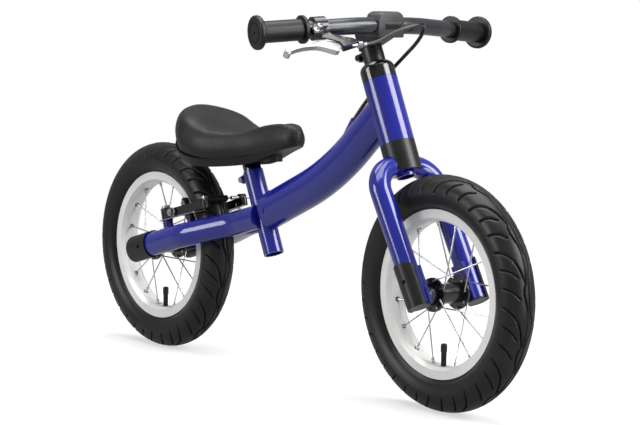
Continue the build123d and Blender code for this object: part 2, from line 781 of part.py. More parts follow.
# ---- seat tube: slit and clamped at the top; the open foot is a socket for an accessory ----
seat_top = seat_tube_length
seat_ear_half = seat_ear_width + slit_width / 2
seat_ear_middle = -(seat_tube_radius + seat_ear_reach) / 2
seat_ear_level = seat_top - seat_ear_height / 2
with BuildPart() as seat_tube:
    with BuildSketch():
        Circle(seat_tube_radius)
    extrude(amount=seat_tube_length)
    with BuildSketch(Plane.XZ.offset(-seat_ear_half)):
        with Locations((-seat_ear_reach / 2, seat_ear_level)):
            RectangleRounded(seat_ear_reach, seat_ear_height, seat_ear_height / 3)
    extrude(amount=2 * seat_ear_half)
    with BuildSketch():
        Circle(seat_foot_bore_radius)
    extrude(amount=seat_tube_length, mode=Mode.SUBTRACT)
    with BuildSketch(Plane.XY.offset(seat_top - seat_ream_length)):
        Circle(seat_post_radius + slide_gap)
    extrude(amount=seat_ream_length, mode=Mode.SUBTRACT)
    with BuildSketch(Plane.XY.offset(seat_top - seat_slit_length)):
        with Locations((-seat_ear_reach / 2, 0)):
            Rectangle(seat_ear_reach, slit_width)
    extrude(amount=seat_slit_length, mode=Mode.SUBTRACT)
    with BuildSketch(Plane.XZ.offset(-seat_ear_half)):
        with Locations((seat_ear_middle, seat_ear_level)):
            Circle(pinch_bolt_radius + seat_gap)
    extrude(amount=2 * seat_ear_half, mode=Mode.SUBTRACT)
place_piece(seat_tube, seat_plane, "seat_tube")

with BuildPart() as seat_clamp_bolt:
    with BuildSketch(Plane.XZ.offset(-seat_ear_half - pinch_head_length)):
        with Locations((seat_ear_middle, seat_ear_level)):
            Circle(pinch_bolt_radius)
    extrude(amount=2 * (seat_ear_half + pinch_head_length))
    for level in (-seat_ear_half - pinch_head_length, seat_ear_half):
        with BuildSketch(Plane.XZ.offset(level)):
            with Locations((seat_ear_middle, seat_ear_level)):
                RegularPolygon(pinch_head_radius, 6)
        extrude(amount=pinch_head_length)
place_piece(seat_clamp_bolt, seat_plane, "seat_clamp_bolt")

# ---- seat post and saddle ----
post_top = seat_top + seat_post_above
plate_foot = seat_foot + seat_up * post_top
plate_level = plate_foot.Z
with BuildPart() as seat_post:
    with BuildSketch(seat_plane.offset(seat_top - seat_post_insert)):
        Circle(seat_post_radius)
    extrude(amount=seat_post_insert + seat_post_above)
    with BuildSketch(Plane(origin=plate_foot)):
        Rectangle(4 * seat_post_radius, 4 * seat_post_radius)
    extrude(amount=2 * seat_post_radius, mode=Mode.SUBTRACT)
    with BuildSketch(Plane(origin=plate_foot)):
        RectangleRounded(seat_plate_length, seat_plate_width, seat_plate_thickness)
    extrude(amount=seat_plate_thickness)
    with BuildSketch(seat_plane.offset(seat_top - seat_post_insert)):
        Circle(seat_post_radius - seat_post_wall)
    extrude(amount=seat_post_insert + seat_post_above - seat_post_radius, mode=Mode.SUBTRACT)
write_piece(seat_post, "seat_post")


# ---- saddle: lofted through cross-sections, then parted along the seam into a base and a padded cover ----
# Saddle frame: origin under the middle of the post's plate, axes as the whole bike's.
saddle_plane = Plane(origin=plate_foot)
saddle_ground = Plane.XY.offset(-plate_level)
with BuildPart() as saddle_body:
    for station, half_width, foot, shoulder, crest, dish in saddle_stations:
        with BuildSketch(Plane(origin=(station, 0, 0), x_dir=(0, 1, 0), z_dir=(1, 0, 0))):
            with BuildLine():
                foot_corner = (saddle_foot_share * half_width, foot)
                side_point = (half_width, shoulder)
                ridge_point = (saddle_ridge_share * half_width, crest)
                Spline(foot_corner, side_point, ridge_point, (0, crest - dish), (-ridge_point[0], crest),
                       (-half_width, shoulder), (-foot_corner[0], foot))
                Polyline((-foot_corner[0], foot), foot_corner)
            make_face()
    loft()

with BuildPart() as saddle_lower:
    with BuildSketch(Plane.XZ):
        with BuildLine():
            Spline(*saddle_seam_points)
            Polyline(saddle_seam_points[-1], (saddle_seam_points[-1][0], -plate_level),
                     (saddle_seam_points[0][0], -plate_level), saddle_seam_points[0])
        make_face()
    extrude(amount=2 * saddle_half_width, both=True)

with BuildPart() as saddle_core:
    with BuildSketch(Plane.XY.offset(saddle_core_foot)):
        for (centre_x, radius) in saddle_core_circles:
            with Locations((centre_x, 0)):
                Circle(radius)
        make_hull()
    extrude(amount=saddle_core_top - saddle_core_foot)

with BuildPart() as saddle_base:
    add(saddle_body.part)
    add(saddle_lower.part, mode=Mode.INTERSECT)
    add(saddle_core.part)
    with BuildSketch(saddle_ground):
        for (centre_x, radius) in saddle_core_circles:
            with Locations((centre_x, 0)):
                Circle(radius - saddle_core_wall)
        make_hull()
    extrude(amount=plate_level + seat_plate_thickness, mode=Mode.SUBTRACT)
place_piece(saddle_base, saddle_plane, "saddle_base")

with BuildPart() as saddle_cover:
    add(saddle_body.part)
    add(saddle_lower.part, mode=Mode.SUBTRACT)
    with BuildSketch(saddle_ground):
        for (centre_x, radius) in saddle_core_circles:
            with Locations((centre_x, 0)):
                Circle(radius + seat_gap)
        make_hull()
    extrude(amount=plate_level + saddle_core_top + seat_gap, mode=Mode.SUBTRACT)
place_piece(saddle_cover, saddle_plane, "saddle_cover")

# ---- stays: oval tubes from the rear axle to the seat tube ----
# Stay frame: X up the stay, Y left, Z square to it.
stay_tilt = math.radians(stay_angle)
stay_run = Vector(math.cos(stay_tilt), 0, math.sin(stay_tilt))
stay_normal = Vector(-math.sin(stay_tilt), 0, math.cos(stay_tilt))
stay_foot = rear_axle - Vector(0, 0, stay_drop)
stay_plane = Plane(origin=stay_foot, x_dir=stay_run, z_dir=stay_normal)
foot_gap = seat_foot - stay_foot
stay_crossing = foot_gap.X * seat_up.Z - foot_gap.Z * seat_up.X
stay_reach = stay_crossing / (stay_run.X * seat_up.Z - stay_run.Z * seat_up.X) + stay_lap
axle_along = stay_drop * math.sin(stay_tilt)
axle_level = stay_drop * math.cos(stay_tilt)
for side, sign in sides:
    with BuildPart() as stay:
        with BuildLine() as stay_path:
            FilletPolyline((-stay_tail, sign * stay_tail_offset), (stay_bend_start, sign * stay_tail_offset),
                           (stay_bend_end, sign * stay_head_offset), (stay_reach, sign * stay_head_offset),
                           radius=stay_bend_radius)
        stay_section = Plane(origin=stay_path.line @ 0, x_dir=(0, 1, 0), z_dir=(1, 0, 0))
        with BuildSketch(stay_section):
            Ellipse(stay_half_width, stay_half_height)
        sweep(path=stay_path.line)
        with BuildSketch():
            with Locations((boss_along, sign * boss_spread)):
                Circle(boss_radius)
        extrude(amount=boss_top)
        with BuildSketch(stay_section):
            Ellipse(stay_half_width - stay_wall, stay_half_height - stay_wall)
        sweep(path=stay_path.line, mode=Mode.SUBTRACT)
        with BuildSketch(Plane.XY.offset(boss_top)):
            with Locations((boss_along, sign * boss_spread)):
                Circle(stud_radius)
        extrude(amount=stud_top - boss_top)
        with BuildSketch(Plane.XY.offset(boss_top)):
            with Locations((boss_along, sign * boss_spread)):
                Circle(stud_bore_radius)
        extrude(amount=stud_top - boss_top, mode=Mode.SUBTRACT)
        with BuildSketch(Plane.XZ.offset(-sign * half_spacing)):
            with Locations(((stay_plate_length - stay_tail) / 2, 0)):
                Rectangle(stay_plate_length + stay_tail, 2 * stay_plate_half_height)
        extrude(amount=-sign * dropout_thickness)
        with BuildSketch(Plane.XZ.offset(-sign * (half_spacing + dropout_thickness))):
            with Locations(((stay_access - 2 * stay_tail) / 2, 0)):
                Rectangle(stay_access + 2 * stay_tail, 3 * stay_half_height)
        extrude(amount=-sign * 2 * stay_half_width, mode=Mode.SUBTRACT)
        with BuildSketch(Plane.XZ.offset(-sign * half_spacing)):
            with Locations((axle_along, axle_level)):
                Circle(axle_radius + slide_gap)
            with Locations((axle_along - stay_tail, axle_level)):
                Rectangle(2 * stay_tail, 2 * (axle_radius + slide_gap))
        extrude(amount=2 * dropout_thickness, both=True, mode=Mode.SUBTRACT)
    with BuildPart(stay_plane) as placed_stay:
        add(stay.part)
    with BuildPart() as coped_stay:
        add(placed_stay.part)
        with BuildSketch(seat_plane):
            Circle(seat_tube_radius)
        extrude(amount=seat_tube_length, mode=Mode.SUBTRACT)
    write_piece(coped_stay, f"stay_{side}")

    with BuildPart() as cap_core:
        with BuildSketch(Plane.YZ.offset(stay_cap_wall - stay_cap_tail)):
            with Locations((sign * stay_tail_offset, 0)):
                Ellipse(stay_half_width + seat_gap, stay_half_height + seat_gap)
        extrude(amount=stay_cap_head + stay_cap_tail)
        fillet(cap_core.edges().group_by(Axis.X)[0], stay_cap_rounding - stay_cap_wall)
    with BuildPart() as stay_cap:
        with BuildSketch(Plane.YZ.offset(-stay_cap_tail)):
            with Locations((sign * stay_tail_offset, 0)):
                Ellipse(stay_half_width + seat_gap + stay_cap_wall,
                        stay_half_height + seat_gap + stay_cap_wall)
        extrude(amount=stay_cap_head + stay_cap_tail)
        fillet(stay_cap.edges().group_by(Axis.X)[0], stay_cap_rounding)
        add(cap_core.part, mode=Mode.SUBTRACT)
        with BuildSketch(Plane.XZ.offset(-sign * (half_spacing + stay_cap_inner))):
            Rectangle(4 * stay_cap_head, 4 * stay_cap_head)
        extrude(amount=sign * stay_half_height, mode=Mode.SUBTRACT)
        with BuildSketch(Plane.XZ.offset(-sign * stay_tail_offset)):
            with Locations((stay_cap_hole, 0)):
                Circle(end_cover_hole_radius)
        extrude(amount=-sign * 2 * stay_half_width, mode=Mode.SUBTRACT)
    place_piece(stay_cap, stay_plane, f"stay_cap_{side}")

with BuildPart() as brake_pivot_bolts:
    for side, sign in sides:
        with BuildSketch(Plane.XY.offset(stud_top - pivot_bolt_length)):
            with Locations((boss_along, sign * boss_spread)):
                Circle(stud_bore_radius - running_gap)
        extrude(amount=pivot_bolt_length)
        with BuildSketch(Plane.XY.offset(stud_top)):
            with Locations((boss_along, sign * boss_spread)):
                Circle(pivot_head_radius)
                RegularPolygon(pivot_socket_radius, 6, mode=Mode.SUBTRACT)
        extrude(amount=pivot_head_height)
        with BuildSketch(Plane.XY.offset(stud_top)):
            with Locations((boss_along, sign * boss_spread)):
                Circle(pivot_head_radius)
        extrude(amount=pivot_head_height / 3)
place_piece(brake_pivot_bolts, stay_plane, "brake_pivot_bolts")

# ---- rear brake: two arms on studs square to the stays, drawn together by one wire; stay frame ----
noodle_level = arm_plate_high + wire_radius + slide_gap
pad_plane_x = Vector(-(pad_height_on_arm - axle_level), 0, pad_along - axle_along)
for side, sign in sides:
    with BuildPart() as arm:
        with BuildSketch(Plane.XY.offset(arm_plate_low)):
            with Locations((boss_along, sign * boss_spread)):
                Circle(arm_barrel_radius)
            with Locations((arm_tip_along - arm_width / 2, sign * arm_tip_spread)):
                Circle(arm_width / 2)
            make_hull()
        extrude(amount=arm_plate_high - arm_plate_low)
        with BuildSketch(Plane.XY.offset(arm_low)):
            with Locations((boss_along, sign * boss_spread)):
                Circle(arm_barrel_radius)
        extrude(amount=arm_high - arm_low)
        if side == "left":
            with BuildSketch(Plane.XZ.offset(-sign * (arm_tip_spread + arm_width / 2))):
                with Locations((noodle_along, noodle_level)):
                    Circle(noodle_radius + cradle_wall)
            extrude(amount=sign * arm_width)
            with BuildSketch(Plane.XZ.offset(-sign * (arm_tip_spread + arm_width / 2))):
                with Locations((noodle_along, noodle_level)):
                    Circle(noodle_radius + running_gap)
            extrude(amount=arm_width * 2, both=True, mode=Mode.SUBTRACT)
        else:
            with BuildSketch(Plane.XY.offset(arm_plate_low)):
                with Locations((arm_tip_along - arm_width / 2, sign * arm_tip_spread)):
                    Circle(anchor_bolt_radius + running_gap)
            extrude(amount=arm_plate_high - arm_plate_low, mode=Mode.SUBTRACT)
        with BuildSketch(Plane.XY.offset(arm_low)):
            with Locations((boss_along, sign * boss_spread)):
                Circle(stud_radius + running_gap)
        extrude(amount=arm_high - arm_low, mode=Mode.SUBTRACT)
        with BuildSketch(Plane.XZ):
            with Locations((pad_along, pad_height_on_arm)):
                SlotOverall(arm_slot_length, 2 * (pad_stud_radius + slide_gap))
        extrude(amount=-sign * 2 * boss_spread, mode=Mode.SUBTRACT)
    place_piece(arm, stay_plane, f"brake_arm_{side}")

    pad_face = rim_half_width + pad_gap
    pad_plane = Plane(origin=(pad_along, sign * pad_face, pad_height_on_arm), x_dir=pad_plane_x,
                      z_dir=(0, sign, 0))
    with BuildPart() as brake_pad:
        with BuildSketch(pad_plane):
            SlotOverall(pad_length, pad_width)
        extrude(amount=pad_thickness)
    place_piece(brake_pad, stay_plane, f"brake_pad_{side}")

    stud_plane = pad_plane.offset(pad_thickness)
    with BuildPart() as arm_hardware:
        with BuildSketch(stud_plane):
            SlotOverall(pad_length - pad_width, pad_width)
        extrude(amount=pad_holder_thickness)
        with BuildSketch(stud_plane):
            Circle(pad_stud_radius)
        extrude(amount=pad_stud_length)
        with BuildSketch(stud_plane.offset(pad_holder_thickness)):
            Circle(pad_washer_radius)
        extrude(amount=pad_spacer)
        with BuildSketch(stud_plane.offset(pad_nut_offset)):
            Circle(pad_washer_radius)
        extrude(amount=washer_thickness)
        with BuildSketch(stud_plane.offset(pad_nut_offset + washer_thickness)):
            RegularPolygon(pad_nut_flats / 2, 6, major_radius=False)
        extrude(amount=pad_nut_length)
        with BuildLine():
            spring_points = [(x, sign * y, z) for x, y, z in spring_route]
            spring_line = FilletPolyline(*spring_points, radius=spring_bend_radius)
        with BuildSketch(Plane(origin=spring_line @ 0, z_dir=spring_line % 0)):
            Circle(spring_wire_radius)
        sweep(path=spring_line)
        if side == "right":
            with BuildSketch(Plane.XY.offset(arm_plate_low)):
                with Locations((arm_tip_along - arm_width / 2, sign * arm_tip_spread)):
                    Circle(anchor_bolt_radius)
            extrude(amount=arm_plate_high - arm_plate_low + 2 * wire_radius)
            with BuildSketch(Plane.XY.offset(arm_plate_high + 2 * (wire_radius + slide_gap))):
                with Locations((arm_tip_along - arm_width / 2, sign * arm_tip_spread)):
                    Circle(anchor_head_radius)
            extrude(amount=anchor_head_height, taper=anchor_head_taper)
    place_piece(arm_hardware, stay_plane, f"arm_hardware_{side}")

with BuildPart() as noodle:
    with BuildLine():
        noodle_line = FilletPolyline((noodle_along, noodle_tip, noodle_level),
                                     (noodle_along, noodle_corner, noodle_level),
                                     (noodle_mouth, noodle_corner, noodle_level), radius=noodle_bend_radius)
    with BuildSketch(Plane(origin=noodle_line @ 0, z_dir=noodle_line % 0)):
        Circle(noodle_radius)
        Circle(wire_radius + clear_gap, mode=Mode.SUBTRACT)
    sweep(path=noodle_line)
    with BuildSketch(Plane.YZ.offset(noodle_mouth)):
        with Locations((noodle_corner, noodle_level)):
            Circle(ferrule_radius)
            Circle(housing_radius + running_gap, mode=Mode.SUBTRACT)
    extrude(amount=ferrule_length)
place_piece(noodle, stay_plane, "noodle")

boot_half = boot_radius - boot_groove
with BuildPart() as brake_boot:
    with BuildSketch(Plane.YZ.offset(noodle_along)):
        with BuildLine():
            boot_start = noodle_tip - slide_gap - boot_length
            pitch = boot_length / boot_folds
            ridge = [(boot_start + (index + 0.5) * pitch / 2, boot_radius if index % 2 else boot_half)
                     for index in range(2 * boot_folds)]
            Polyline((boot_start, wire_radius + slide_gap), (boot_start, boot_half), *ridge,
                     (boot_start + boot_length, boot_half),
                     (boot_start + boot_length, wire_radius + slide_gap), close=True)
        make_face()
    revolve(axis=Axis((noodle_along, 0, 0), (0, 1, 0)))
with BuildPart() as brake_link:
    with BuildSketch(Plane.XZ.offset(-noodle_tip)):
        with Locations((noodle_along, noodle_level)):
            Circle(wire_radius)
    extrude(amount=noodle_tip + arm_tip_spread + wire_tail)
    with Locations((0, 0, noodle_level)):
        add(brake_boot.part)
place_piece(brake_link, stay_plane, "brake_link")

# ---- stem: a quill sliding in the steerer, locked by a wedge and a long bolt; steering frame ----
bar_centre = Vector(bar_x, 0, bar_z)
bar_forward = (bar_centre - steer_foot).dot(steer_forward)
bar_level = (bar_centre - steer_foot).dot(steer_up)
neck_foot = steerer_top + stem_neck_gap
quill_foot = neck_foot - stem_post_length
clamp_radius = bar_radius + stem_clamp_wall
with BuildPart() as stem:
    with BuildSketch(Plane.XZ):
        with BuildLine():
            Polyline((-stem_neck_radius, neck_foot), (stem_neck_radius + clear_gap, neck_foot),
                     (bar_forward, bar_level - clamp_radius), (bar_forward, bar_level + clamp_radius),
                     (-stem_neck_radius + stem_shoulder, neck_foot + stem_head_height),
                     (-stem_neck_radius, neck_foot + stem_head_height - stem_shoulder), close=True)
        make_face()
        with Locations((bar_forward, bar_level)):
            Circle(clamp_radius)
    extrude(amount=stem_width / 2, both=True)
    fillet(stem.edges().filter_by(Axis.Z).group_by(Axis.X)[0], stem_shoulder)
    with BuildSketch(Plane.XY.offset(quill_foot)):
        Circle(stem_post_radius)
    extrude(amount=stem_post_length)
    with BuildSketch(Plane.XZ):
        with BuildLine():
            Polyline((-stem_post_radius, quill_foot), (stem_post_radius, quill_foot),
                     (stem_post_radius, quill_foot + 2 * stem_post_radius * wedge_slope),
                     (-stem_post_radius, quill_foot), close=True)
        make_face()
    extrude(amount=2 * stem_post_radius, both=True, mode=Mode.SUBTRACT)
    with BuildSketch(Plane.XY.offset(quill_foot)):
        Circle(wedge_bolt_radius + seat_gap)
    extrude(amount=stem_post_length + stem_head_height, mode=Mode.SUBTRACT)
    with BuildSketch(Plane.XY.offset(neck_foot + stem_head_height)):
        Circle(wedge_bolt_head_radius + seat_gap)
    extrude(amount=-wedge_head_depth, mode=Mode.SUBTRACT)
    with BuildSketch(Plane.XZ):
        with Locations((bar_forward, bar_level)):
            Circle(bar_radius + running_gap)
    extrude(amount=stem_width, both=True, mode=Mode.SUBTRACT)
place_piece(stem, steer_plane, "stem")

with BuildPart() as stem_wedge:
    with BuildSketch(Plane.XY.offset(quill_foot - wedge_length)):
        Circle(stem_post_radius)
    extrude(amount=wedge_length + 2 * stem_post_radius * wedge_slope - seat_gap)
    with BuildSketch(Plane.XZ):
        with BuildLine():
            Polyline((-stem_post_radius, quill_foot - seat_gap),
                     (stem_post_radius, quill_foot + 2 * stem_post_radius * wedge_slope - seat_gap),
                     (-stem_post_radius, quill_foot + 2 * stem_post_radius * wedge_slope), close=True)
        make_face()
    extrude(amount=2 * stem_post_radius, both=True, mode=Mode.SUBTRACT)
    with BuildSketch(Plane.XY.offset(quill_foot - wedge_length)):
        Circle(wedge_bolt_radius)
    extrude(amount=wedge_length + stem_post_length + stem_head_height - wedge_head_depth)
    with BuildSketch(Plane.XY.offset(neck_foot + stem_head_height - wedge_head_depth)):
        Circle(wedge_bolt_head_radius)
        RegularPolygon(wedge_bolt_head_radius / 2, 6, mode=Mode.SUBTRACT)
    extrude(amount=wedge_head_depth)
    with BuildSketch(Plane.XY.offset(neck_foot + stem_head_height - wedge_head_depth)):
        Circle(wedge_bolt_head_radius)
    extrude(amount=wedge_head_depth / 2)
place_piece(stem_wedge, steer_plane, "stem_wedge")

# ---- handlebar, the block over its clamp, and the grips ----
grip_face = Vector(bar_x - bar_end_back, bar_end_y, bar_z - bar_end_drop)
bar_bend = Vector(bar_x, bar_bend_y, bar_z)
bar_inward = (bar_bend - grip_face).normalized()
bar_tip = grip_face + bar_inward * (grip_end_wall + seat_gap)
with BuildPart() as handlebar:
    with BuildLine() as bar_path:
        FilletPolyline(bar_tip, bar_bend, (bar_bend.X, -bar_bend.Y, bar_bend.Z),
                       (bar_tip.X, -bar_tip.Y, bar_tip.Z), radius=bar_bend_radius)
    with BuildSketch(Plane(origin=bar_tip, z_dir=bar_path.line % 0)):
        Circle(bar_radius)
        Circle(bar_radius - bar_wall, mode=Mode.SUBTRACT)
    sweep(path=bar_path.line)
write_piece(handlebar, "handlebar")

block_inner = block_height / 2 - block_wall
with BuildPart() as bar_block:
    with BuildSketch(Plane.XZ):
        with Locations((block_x, bar_z)):
            Rectangle(block_depth, block_height)
    extrude(amount=block_length / 2, both=True)
    chamfer(bar_block.edges().filter_by(Axis.Y).group_by(Axis.Z)[-1], block_chamfer)
    fillet(bar_block.faces().filter_by(Axis.Y).edges(), block_rounding)
    with BuildSketch(Plane.XZ):
        with Locations((bar_x, bar_z)):
            Circle(clamp_radius + seat_gap)
        with Locations((bar_x + clamp_radius / 2 - block_depth, bar_z + block_inner - block_height)):
            Rectangle(2 * block_depth, 2 * block_height)
    extrude(amount=stem_width / 2 + seat_gap, both=True, mode=Mode.SUBTRACT)
    with BuildSketch(Plane.XZ):
        with Locations((bar_x, bar_z)):
            Circle(bar_radius + running_gap)
    extrude(amount=block_length, both=True, mode=Mode.SUBTRACT)
write_piece(bar_block, "bar_block")

with BuildPart() as grip:
    with BuildSketch():
        Circle(grip_outer_flange_radius)
    extrude(amount=grip_outer_flange_width)
    fillet(grip.edges(), grip_flange_rounding)
    with BuildSketch():
        Circle(grip_radius)
    extrude(amount=grip_length)
    with BuildSketch(Plane.XY.offset(grip_length - grip_inner_flange_width)):
        Circle(grip_inner_flange_radius)
    extrude(amount=grip_inner_flange_width)
    fillet(grip.edges().group_by(Axis.Z)[-1], grip_inner_rounding)
    with BuildSketch(Plane.XY.offset(grip_end_wall)):
        Circle(bar_radius + running_gap)
    extrude(amount=grip_length, mode=Mode.SUBTRACT)
    with BuildSketch():
        Circle(grip_vent_radius)
        for radius in grip_ring_radii:
            Circle(radius + grip_ring_width / 2)
            Circle(radius - grip_ring_width / 2, mode=Mode.SUBTRACT)
    extrude(amount=grip_ring_depth, mode=Mode.SUBTRACT)
    with BuildSketch():
        Circle(grip_vent_radius)
    extrude(amount=grip_end_wall, mode=Mode.SUBTRACT)
for side, sign in sides:
    face = Vector(grip_face.X, sign * grip_face.Y, grip_face.Z)
    inward = Vector(bar_inward.X, sign * bar_inward.Y, bar_inward.Z)
    place_piece(grip, Plane(origin=face, x_dir=(1, 0, -inward.X / inward.Z), z_dir=inward), f"grip_{side}")

# ---- brake lever on the right ----
# Lever frame: X inward along the bar, Y forward and down, Z square to both.
clamp_share = (lever_clamp_y - bar_bend_y) / (bar_end_y - bar_bend_y)
lever_inward = Vector(bar_inward.X, -bar_inward.Y, bar_inward.Z)
lever_centre = Vector(bar_x - bar_end_back * clamp_share, -lever_clamp_y, bar_z - bar_end_drop * clamp_share)
level_forward = (Vector(1, 0, 0) - lever_inward * lever_inward.X).normalized()
lever_down = lever_inward.cross(level_forward)
droop = math.radians(lever_drop)
lever_out = level_forward * math.cos(droop) + lever_down * math.sin(droop)
lever_plane = Plane(origin=lever_centre, x_dir=lever_inward, z_dir=lever_inward.cross(lever_out))
band_radius = bar_radius + lever_clamp_wall
ear_level = band_radius + screw_head_radius - clamp_ear_inset
with BuildPart() as lever_bracket:
    with BuildSketch(Plane.YZ.offset(-lever_clamp_width / 2)):
        Circle(band_radius)
        Rectangle(clamp_ear_depth, 2 * (ear_level + clamp_ear_reach))
    extrude(amount=lever_clamp_width)
    with BuildSketch(Plane.XY.offset(-bracket_thickness / 2)):
        with BuildLine():
            Polyline((-lever_clamp_width / 2, 0), (lever_clamp_width / 2, 0),
                     (lever_pivot_along, bracket_nose_out - bracket_nose_radius - bracket_web),
                     (bracket_nose_along, bracket_nose_out - bracket_nose_radius),
                     (bracket_nose_along, bracket_nose_out + bracket_nose_radius),
                     (lever_pivot_along - lever_eye_radius, lever_pivot_out + lever_eye_radius + clear_gap),
                     (-lever_clamp_width / 2, bracket_nose_out - 2 * bracket_web), close=True)
        make_face()
    extrude(amount=bracket_thickness)
    with BuildSketch(Plane.YZ.offset(bracket_nose_along)):
        with Locations((bracket_nose_out, 0)):
            Circle(bracket_nose_radius)
    extrude(amount=bracket_nose_radius)
    with BuildSketch(Plane.YZ):
        Circle(bar_radius + running_gap)
    extrude(amount=2 * lever_clamp_width, both=True, mode=Mode.SUBTRACT)
    with BuildSketch(Plane.XZ):
        Rectangle(2 * lever_clamp_width, 4 * band_radius)
    extrude(amount=clamp_slit / 2, both=True, mode=Mode.SUBTRACT)
    with BuildSketch(Plane.XY.offset(-bracket_slot / 2)):
        with BuildLine():
            Polyline((-lever_clamp_width, lever_slot_foot), (slot_inner, lever_slot_foot),
                     (slot_inner, 2 * lever_pivot_out), (-lever_clamp_width, 2 * lever_pivot_out), close=True)
        make_face()
    extrude(amount=bracket_slot, mode=Mode.SUBTRACT)
    with BuildSketch(Plane.XY.offset(-bracket_thickness / 2)):
        with Locations((lever_pivot_along, lever_pivot_out)):
            Circle(lever_pin_radius + running_gap)
    extrude(amount=bracket_thickness, mode=Mode.SUBTRACT)
    with BuildSketch(Plane.XZ.offset(-clamp_ear_depth)):
        with Locations((0, ear_level), (0, -ear_level)):
            Circle(screw_radius + slide_gap)
    extrude(amount=2 * clamp_ear_depth, mode=Mode.SUBTRACT)
    with BuildSketch(Plane.YZ.offset(bracket_nose_along)):
        with Locations((bracket_nose_out, 0)):
            Circle(adjuster_radius + running_gap)
    extrude(amount=bracket_nose_radius, mode=Mode.SUBTRACT)
place_piece(lever_bracket, lever_plane, "lever_bracket")

with BuildPart() as lever_hardware:
    for level in (ear_level, -ear_level):
        with BuildSketch(Plane.XZ.offset(-clamp_ear_depth / 2)):
            with Locations((0, level)):
                Circle(screw_radius)
        extrude(amount=clamp_ear_depth)
        with BuildSketch(Plane.XZ.offset(-clamp_ear_depth / 2)):
            with Locations((0, level)):
                Circle(screw_head_radius)
        extrude(amount=-screw_head_length)
        with BuildSketch(Plane.XZ.offset(-clamp_ear_depth / 2 - screw_head_length / 2)):
            with Locations((0, level)):
                Rectangle(screw_head_radius, screw_cross_width)
                Rectangle(screw_cross_width, screw_head_radius)
        extrude(amount=-screw_head_length, mode=Mode.SUBTRACT)
    with BuildSketch(Plane.XY.offset(-bracket_thickness / 2)):
        with Locations((lever_pivot_along, lever_pivot_out)):
            Circle(lever_pin_radius)
    extrude(amount=bracket_thickness)
place_piece(lever_hardware, lever_plane, "lever_hardware")

with BuildPart() as cable_adjuster:
    with BuildSketch(Plane.YZ.offset(bracket_nose_along + seat_gap)):
        with Locations((bracket_nose_out, 0)):
            Circle(adjuster_radius)
    extrude(amount=bracket_nose_radius + adjuster_length)
    with BuildSketch(Plane.YZ.offset(bracket_nose_along + bracket_nose_radius + seat_gap)):
        with Locations((bracket_nose_out, 0)):
            Circle(adjuster_nut_radius)
    extrude(amount=adjuster_nut_length)
    adjuster_end = bracket_nose_along + bracket_nose_radius + seat_gap + adjuster_length
    with BuildSketch(Plane.YZ.offset(adjuster_end)):
        with Locations((bracket_nose_out, 0)):
            Circle(housing_radius + running_gap)
    extrude(amount=-housing_socket, mode=Mode.SUBTRACT)
place_piece(cable_adjuster, lever_plane, "cable_adjuster")

with BuildPart() as brake_lever:
    with BuildSketch(Plane.XY.offset(-lever_blade_height / 2)):
        with BuildLine():
            Spline(*lever_blade_points)
        trace(line_width=lever_blade_thickness)
        with Locations(lever_blade_points[-1]):
            Circle(lever_tip_radius)
    extrude(amount=lever_blade_height)
    with BuildSketch(Plane.XY.offset(-lever_eye_thickness / 2)):
        with Locations((lever_pivot_along, lever_pivot_out)):
            Circle(lever_eye_radius)
        with Locations(lever_blade_points[0]):
            Circle(lever_blade_thickness)
        make_hull()
    extrude(amount=lever_eye_thickness)
    with BuildSketch(Plane.XY.offset(-lever_blade_height)):
        with Locations((lever_pivot_along, lever_pivot_out)):
            Circle(lever_pin_radius + running_gap)
    extrude(amount=2 * lever_blade_height, mode=Mode.SUBTRACT)
place_piece(brake_lever, lever_plane, "brake_lever")


# ---- brake cable: every housing run is straight with tangent arcs between ----
def route_radii(points):
    """Return an arc radius for each corner of a route, from its shorter run and its turn."""
    radii = []
    for before, corner, after in zip(points, points[1:], points[2:]):
        shorter = min((corner - before).length, (after - corner).length)
        turn = math.radians((corner - before).get_angle(after - corner))
        radii.append(0.45 * shorter / math.tan(turn / 2))
    return radii


socket_foot = lever_plane.from_local_coords(Vector(adjuster_end - housing_socket, bracket_nose_out, 0))
socket_mouth = lever_plane.from_local_coords(Vector(adjuster_end + housing_lead, bracket_nose_out, 0))
stop_seat = stop_top + stop_axis * stop_bore_depth
front_route = [socket_foot, socket_mouth, *(Vector(*point) for point in front_housing_points),
               stop_top - stop_axis * housing_lead, stop_seat]
noodle_seat = stay_plane.from_local_coords(Vector(noodle_mouth, noodle_corner, noodle_level))
noodle_lead = stay_plane.from_local_coords(Vector(noodle_mouth + 2 * housing_lead, noodle_corner,
                                                  noodle_level))
rear_route = [noodle_seat, noodle_lead, *(Vector(*point) for point in rear_housing_points),
              port + (port - housing_end) * port_reach, housing_end]
print("front housing radii", [round(radius, 1) for radius in route_radii(front_route)])
print("rear housing radii", [round(radius, 1) for radius in route_radii(rear_route)])

with BuildPart() as front_cable_housing:
    with BuildLine():
        front_line = FilletPolyline(*front_route, radius=route_radii(front_route))
    with BuildSketch(Plane(origin=front_line @ 0, z_dir=front_line % 0)):
        Circle(housing_radius)
    sweep(path=front_line)
print("front housing", front_cable_housing.part.volume, front_line.length * math.pi * housing_radius**2)
write_piece(front_cable_housing, "front_cable_housing")

wire_start = stop_seat + stop_axis * seat_gap
with BuildPart() as rear_cable:
    with BuildLine():
        rear_line = FilletPolyline(*rear_route, radius=route_radii(rear_route))
    with BuildSketch(Plane(origin=rear_line @ 0, z_dir=rear_line % 0)):
        Circle(housing_radius)
    sweep(path=rear_line)
    with BuildLine():
        wire_line = FilletPolyline(wire_start, wire_turn, housing_end, radius=wire_bend_radius)
    with BuildSketch(Plane(origin=wire_start, z_dir=stop_axis)):
        Circle(wire_radius)
    sweep(path=wire_line)
print("rear cable", rear_cable.part.volume, rear_line.length * math.pi * housing_radius**2 +
      wire_line.length * math.pi * wire_radius**2)
write_piece(rear_cable, "rear_cable")
